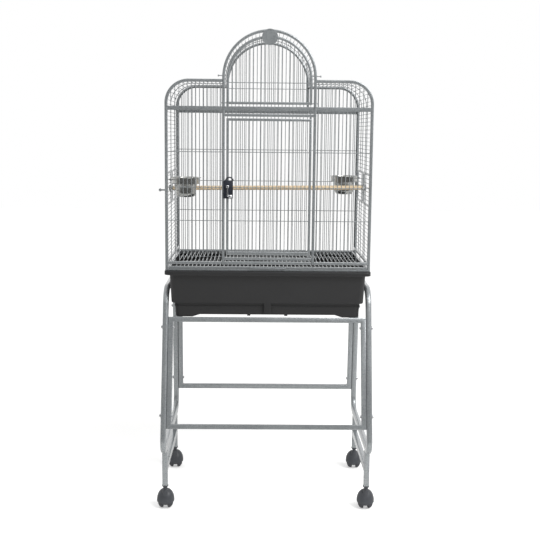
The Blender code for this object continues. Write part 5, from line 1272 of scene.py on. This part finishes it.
# %% Stand
STAND_TOP = span("stand_front_frame", 2)[1]
FRAME_TUBE = 0.020
LOWER_BAR = 0.364
TOP_Y, LOW_Y = {-1: -0.248, 1: 0.226}, {-1: -0.362, 1: 0.258}
FRAME_X = span("stand_front_frame", 0)[1]
BAND_X, BAND_WIDE, BAND_DEEP = FRAME_X + GAP + 0.0115, 0.023, 0.029
BAND_TOP, BAND_BOTTOM = 0.905, 0.247
BAND_SLIM = 0.0013
BEND_RADII = (0.042, 0.062, 0.080, 0.080)


def top_bar_level(end):
    lean = math.atan2(abs(TOP_Y[end] - LOW_Y[end]), STAND_TOP - LOWER_BAR)
    return STAND_TOP - FRAME_TUBE / 2 * (math.cos(lean) + math.sin(lean))


def leg_y(level, end):
    """The leaning leg's place at a level."""
    return LOW_Y[end] + (TOP_Y[end] - LOW_Y[end]) * (level - LOWER_BAR) / (top_bar_level(end) - LOWER_BAR)


def rounded_loop(corners, radii, steps=12):
    """A closed loop of points in a plane, with a bend of its own radius at each corner."""
    corners, points = np.asarray(corners, dtype=float), []
    befores, afters = np.roll(corners, 1, axis=0), np.roll(corners, -1, axis=0)
    t = np.linspace(0, 1, steps + 1)[:, None]
    for here, before, after, radius in zip(corners, befores, afters, radii):
        back, on = unit(before - here), unit(after - here)
        half = math.acos(back @ on) / 2
        middle = here + unit(back + on) * radius / math.sin(half)
        start = here + back * radius / math.tan(half) - middle
        stop = here + on * radius / math.tan(half) - middle
        turn = math.pi - 2 * half
        points.append(middle + (np.sin((1 - t) * turn) * start + np.sin(t * turn) * stop) / math.sin(turn))
    return np.vstack(points)


def stand_frame(place, end):
    half, top = FRAME_X - FRAME_TUBE / 2, top_bar_level(end)
    low_y, top_y = leg_y(LOWER_BAR, end), leg_y(top, end)
    levels = (LOWER_BAR, LOWER_BAR, top, top)
    corners = columns((-half, half, half, -half), (low_y, low_y, top_y, top_y), levels)
    normal = unit(np.cross(corners[1] - corners[0], corners[2] - corners[1]))
    tube = along_path(corners, normal, tube_section(FRAME_TUBE, corner=0.003), closed=True)
    piece(f"stand_{place}_frame", HAMMERTONE, [tube])


def side_hoop(word, side):
    top, low = BAND_TOP - BAND_DEEP / 2, BAND_BOTTOM + BAND_DEEP / 2
    corners = ((leg_y(low, -1), low), (leg_y(low, 1), low), (leg_y(top, 1), top), (leg_y(top, -1), top))
    loop = rounded_loop(corners, BEND_RADII)
    path = columns(side * BAND_X, loop[:, 0], loop[:, 1])
    section = tube_section(BAND_DEEP - BAND_SLIM, BAND_WIDE, 0.0085, 8)
    piece(f"{word}_hoop", HAMMERTONE, [along_path(path, X, section, closed=True)])


for place, end in ENDS:
    stand_frame(place, end)
for word, side in SIDES:
    side_hoop(word, side)

# %% [markdown]
# Eight bolts hold the hoops to the frames: a domed head with a washer outside and a six-sided nut inside. A
# turned bar with six steps is a hexagon, so the same function makes the nut.

# %% Stand bolts
BOLT_LEVELS = (("upper", 0.744), ("lower", 0.405))
BOLT_HEAD = (
    (0, 0), (0.008, 0), (0.008, 0.0010), (0.0068, 0.0012), (0.0068, 0.0030), (0.0060, 0.0048),
    (0.0042, 0.0060), (0.0020, 0.0065), (0, 0.0065),
)
BOLT, BOLT_END = 0.003, 0.0052
NUT, NUT_TALL = 0.006, 0.0047


def stand_bolt(place, end, word, side, height, level):
    y = leg_y(level, end)
    outer, inner = BAND_X + BAND_WIDE / 2 + GAP, FRAME_X - FRAME_TUBE - GAP
    start, length = (side * (outer + 0.0005), y, level), outer - inner + BOLT_END
    piece(f"{place}_{word}_{height}_bolt", CHROME, [
        turned(BOLT_HEAD, (side * outer, y, level), "X", side, 32),
        round_bar(start, length, BOLT, "X", -side, ease=0.0005, steps=16),
        round_bar((side * inner, y, level), NUT_TALL, NUT, "X", -side, ease=0.0007, steps=6),
    ])


for place, end in ENDS:
    for word, side in SIDES:
        for height, level in BOLT_LEVELS:
            stand_bolt(place, end, word, side, height, level)

# %% [markdown]
# Each side has a foot: two short legs of square tube under the hoop, with a stretcher between them that is a
# little taller than it is wide.

# %% Feet
FOOT_TUBE = 0.022
FOOT_LOW = span("left_foot", 2)[0]
FOOT_Y = {-1: LOW_Y[-1] + 0.058, 1: LOW_Y[1] - 0.080}
STRETCHER_LOW, STRETCHER_TALL = 0.158, 0.025


def foot(word, side):
    x, top = side * BAND_X, BAND_BOTTOM - GAP
    level = STRETCHER_LOW + STRETCHER_TALL / 2
    shapes = [bar((x, y, FOOT_LOW), (x, y, top), tube_section(FOOT_TUBE), Y) for y in FOOT_Y.values()]
    stretcher = tube_section(FOOT_TUBE - 2 * GAP, STRETCHER_TALL)
    shapes.append(bar((x, FOOT_Y[-1], level), (x, FOOT_Y[1], level), stretcher, Z))
    piece(f"{word}_foot", HAMMERTONE, shapes)


for word, side in SIDES:
    foot(word, side)

# %% [markdown]
# A castor's hood is a dome round the axle. Across, it is a superellipse, which is fuller at its shoulders
# than an ellipse: |x / w| ^ n + |r / R| ^ n = 1. Round the axle, R grows from the wheel's size to the height
# of the swivel, so the hood is egg-shaped from the front. A smaller copy of the same curve is its inside. The
# hood reaches 4 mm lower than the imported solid's, and a small turned collar stands between it and the foot.

# %% Castor hoods
AXLE_LEVEL = 0.031
TRAIL = 0.018
HOOD, HOOD_TOP = 0.0355, 0.081
HOOD_SHELL = 0.0022
HOOD_POINTS = 40
FULLNESS = 2.2
WEB = 0.0092
WEB_FOOT = ((-0.028, -0.010), (-0.024, -0.0135), (0.024, -0.0135), (0.028, -0.010))
COLLAR_TALL = 0.0187
CASTOR_COLLAR = (
    (0, 0), (0.0080, 0), (0.0085, 0.003), (0.0070, 0.0045), (0.0072, 0.0075), (0.0090, 0.0095),
    (0.0135, 0.0165), (0.0135, COLLAR_TALL), (0, COLLAR_TALL),
)


def superellipse(half_width, start, power=FULLNESS):
    """(across, share of R) points from one side to the other. start keeps the ends off the axle."""
    turns = np.linspace(start, math.pi - start, HOOD_POINTS)
    across = half_width * np.sign(np.cos(turns)) * np.abs(np.cos(turns)) ** (2 / power)
    return np.stack([across, np.sin(turns) ** (2 / power)], axis=-1)


def hood_skin(x, y, z):
    """At each turn t round the axle, R is HOOD plus the cube of sin t of what the top is higher."""
    turns = np.radians(np.linspace(-8, 188, 50))
    reach = HOOD + (HOOD_TOP - AXLE_LEVEL - HOOD) * np.clip(np.sin(turns), 0, 1) ** 3
    outer, inner = superellipse(HOOD, 0.03), superellipse(HOOD - HOOD_SHELL, 0.03)[::-1]
    across, share = np.vstack([outer, inner]).T
    thick = np.repeat([0, HOOD_SHELL], HOOD_POINTS)
    radius = np.maximum(share[None] * reach[:, None] - thick[None], 0.0006)
    along, up = radius * np.cos(turns)[:, None], radius * np.sin(turns)[:, None]
    return loft(columns(x + across[None], y + along, z + up))


def castor_hood(place, end, word, side):
    x, y = side * BAND_X, FOOT_Y[end]
    web = np.vstack([arc((0, 0), HOOD - 0.003, 0, 180, 24), WEB_FOOT]) + (y + TRAIL, AXLE_LEVEL)
    piece(f"{place}_{word}_caster_hood", NYLON, [
        hood_skin(x, y + TRAIL, AXLE_LEVEL),
        loft([columns(x + step, web[:, 0], web[:, 1]) for step in (-WEB, WEB)]),
        turned(CASTOR_COLLAR, (x, y, FOOT_LOW - GAP - COLLAR_TALL), steps=32),
        round_bar((x, y, FOOT_LOW - 0.002), 0.032, 0.005, "Z", steps=20),
        round_bar((x, y, HOOD_TOP - 0.030), 0.033, 0.0125, "Z"),
    ])


def castor_wheels(place, end, word, side):
    """Two wheels on an axle. Each tread is nearly flat, and its outer face is domed by the same curve."""
    x, y, z = side * BAND_X, FOOT_Y[end] + TRAIL, AXLE_LEVEL
    dome = superellipse(0.022, 0.0, 2.4)
    dome = dome[dome[:, 0] >= 0][::-1]
    outline = np.vstack([[(0, 0)], [(0.0295, 0)], columns(AXLE_LEVEL * dome[:, 1], dome[:, 0])[1:]])
    outline[-1, 0] = 0
    piece(f"{place}_{word}_wheels", RUBBER, [
        *[turned(outline, (x + way * 0.0095, y, z), "X", way, 64) for way in (-1, 1)],
        round_bar((x - 0.0125, y, z), 0.025, 0.003, "X", steps=16),
    ])


for place, end in ENDS:
    for word, side in SIDES:
        castor_hood(place, end, word, side)
        castor_wheels(place, end, word, side)

# %% [markdown]
# Last, the number of pieces and their triangles. Each piece has printed how far it reaches past its solid.

# %% Pieces and triangles
print(len(made), "pieces,", sum(count for _, count in made), "triangles")
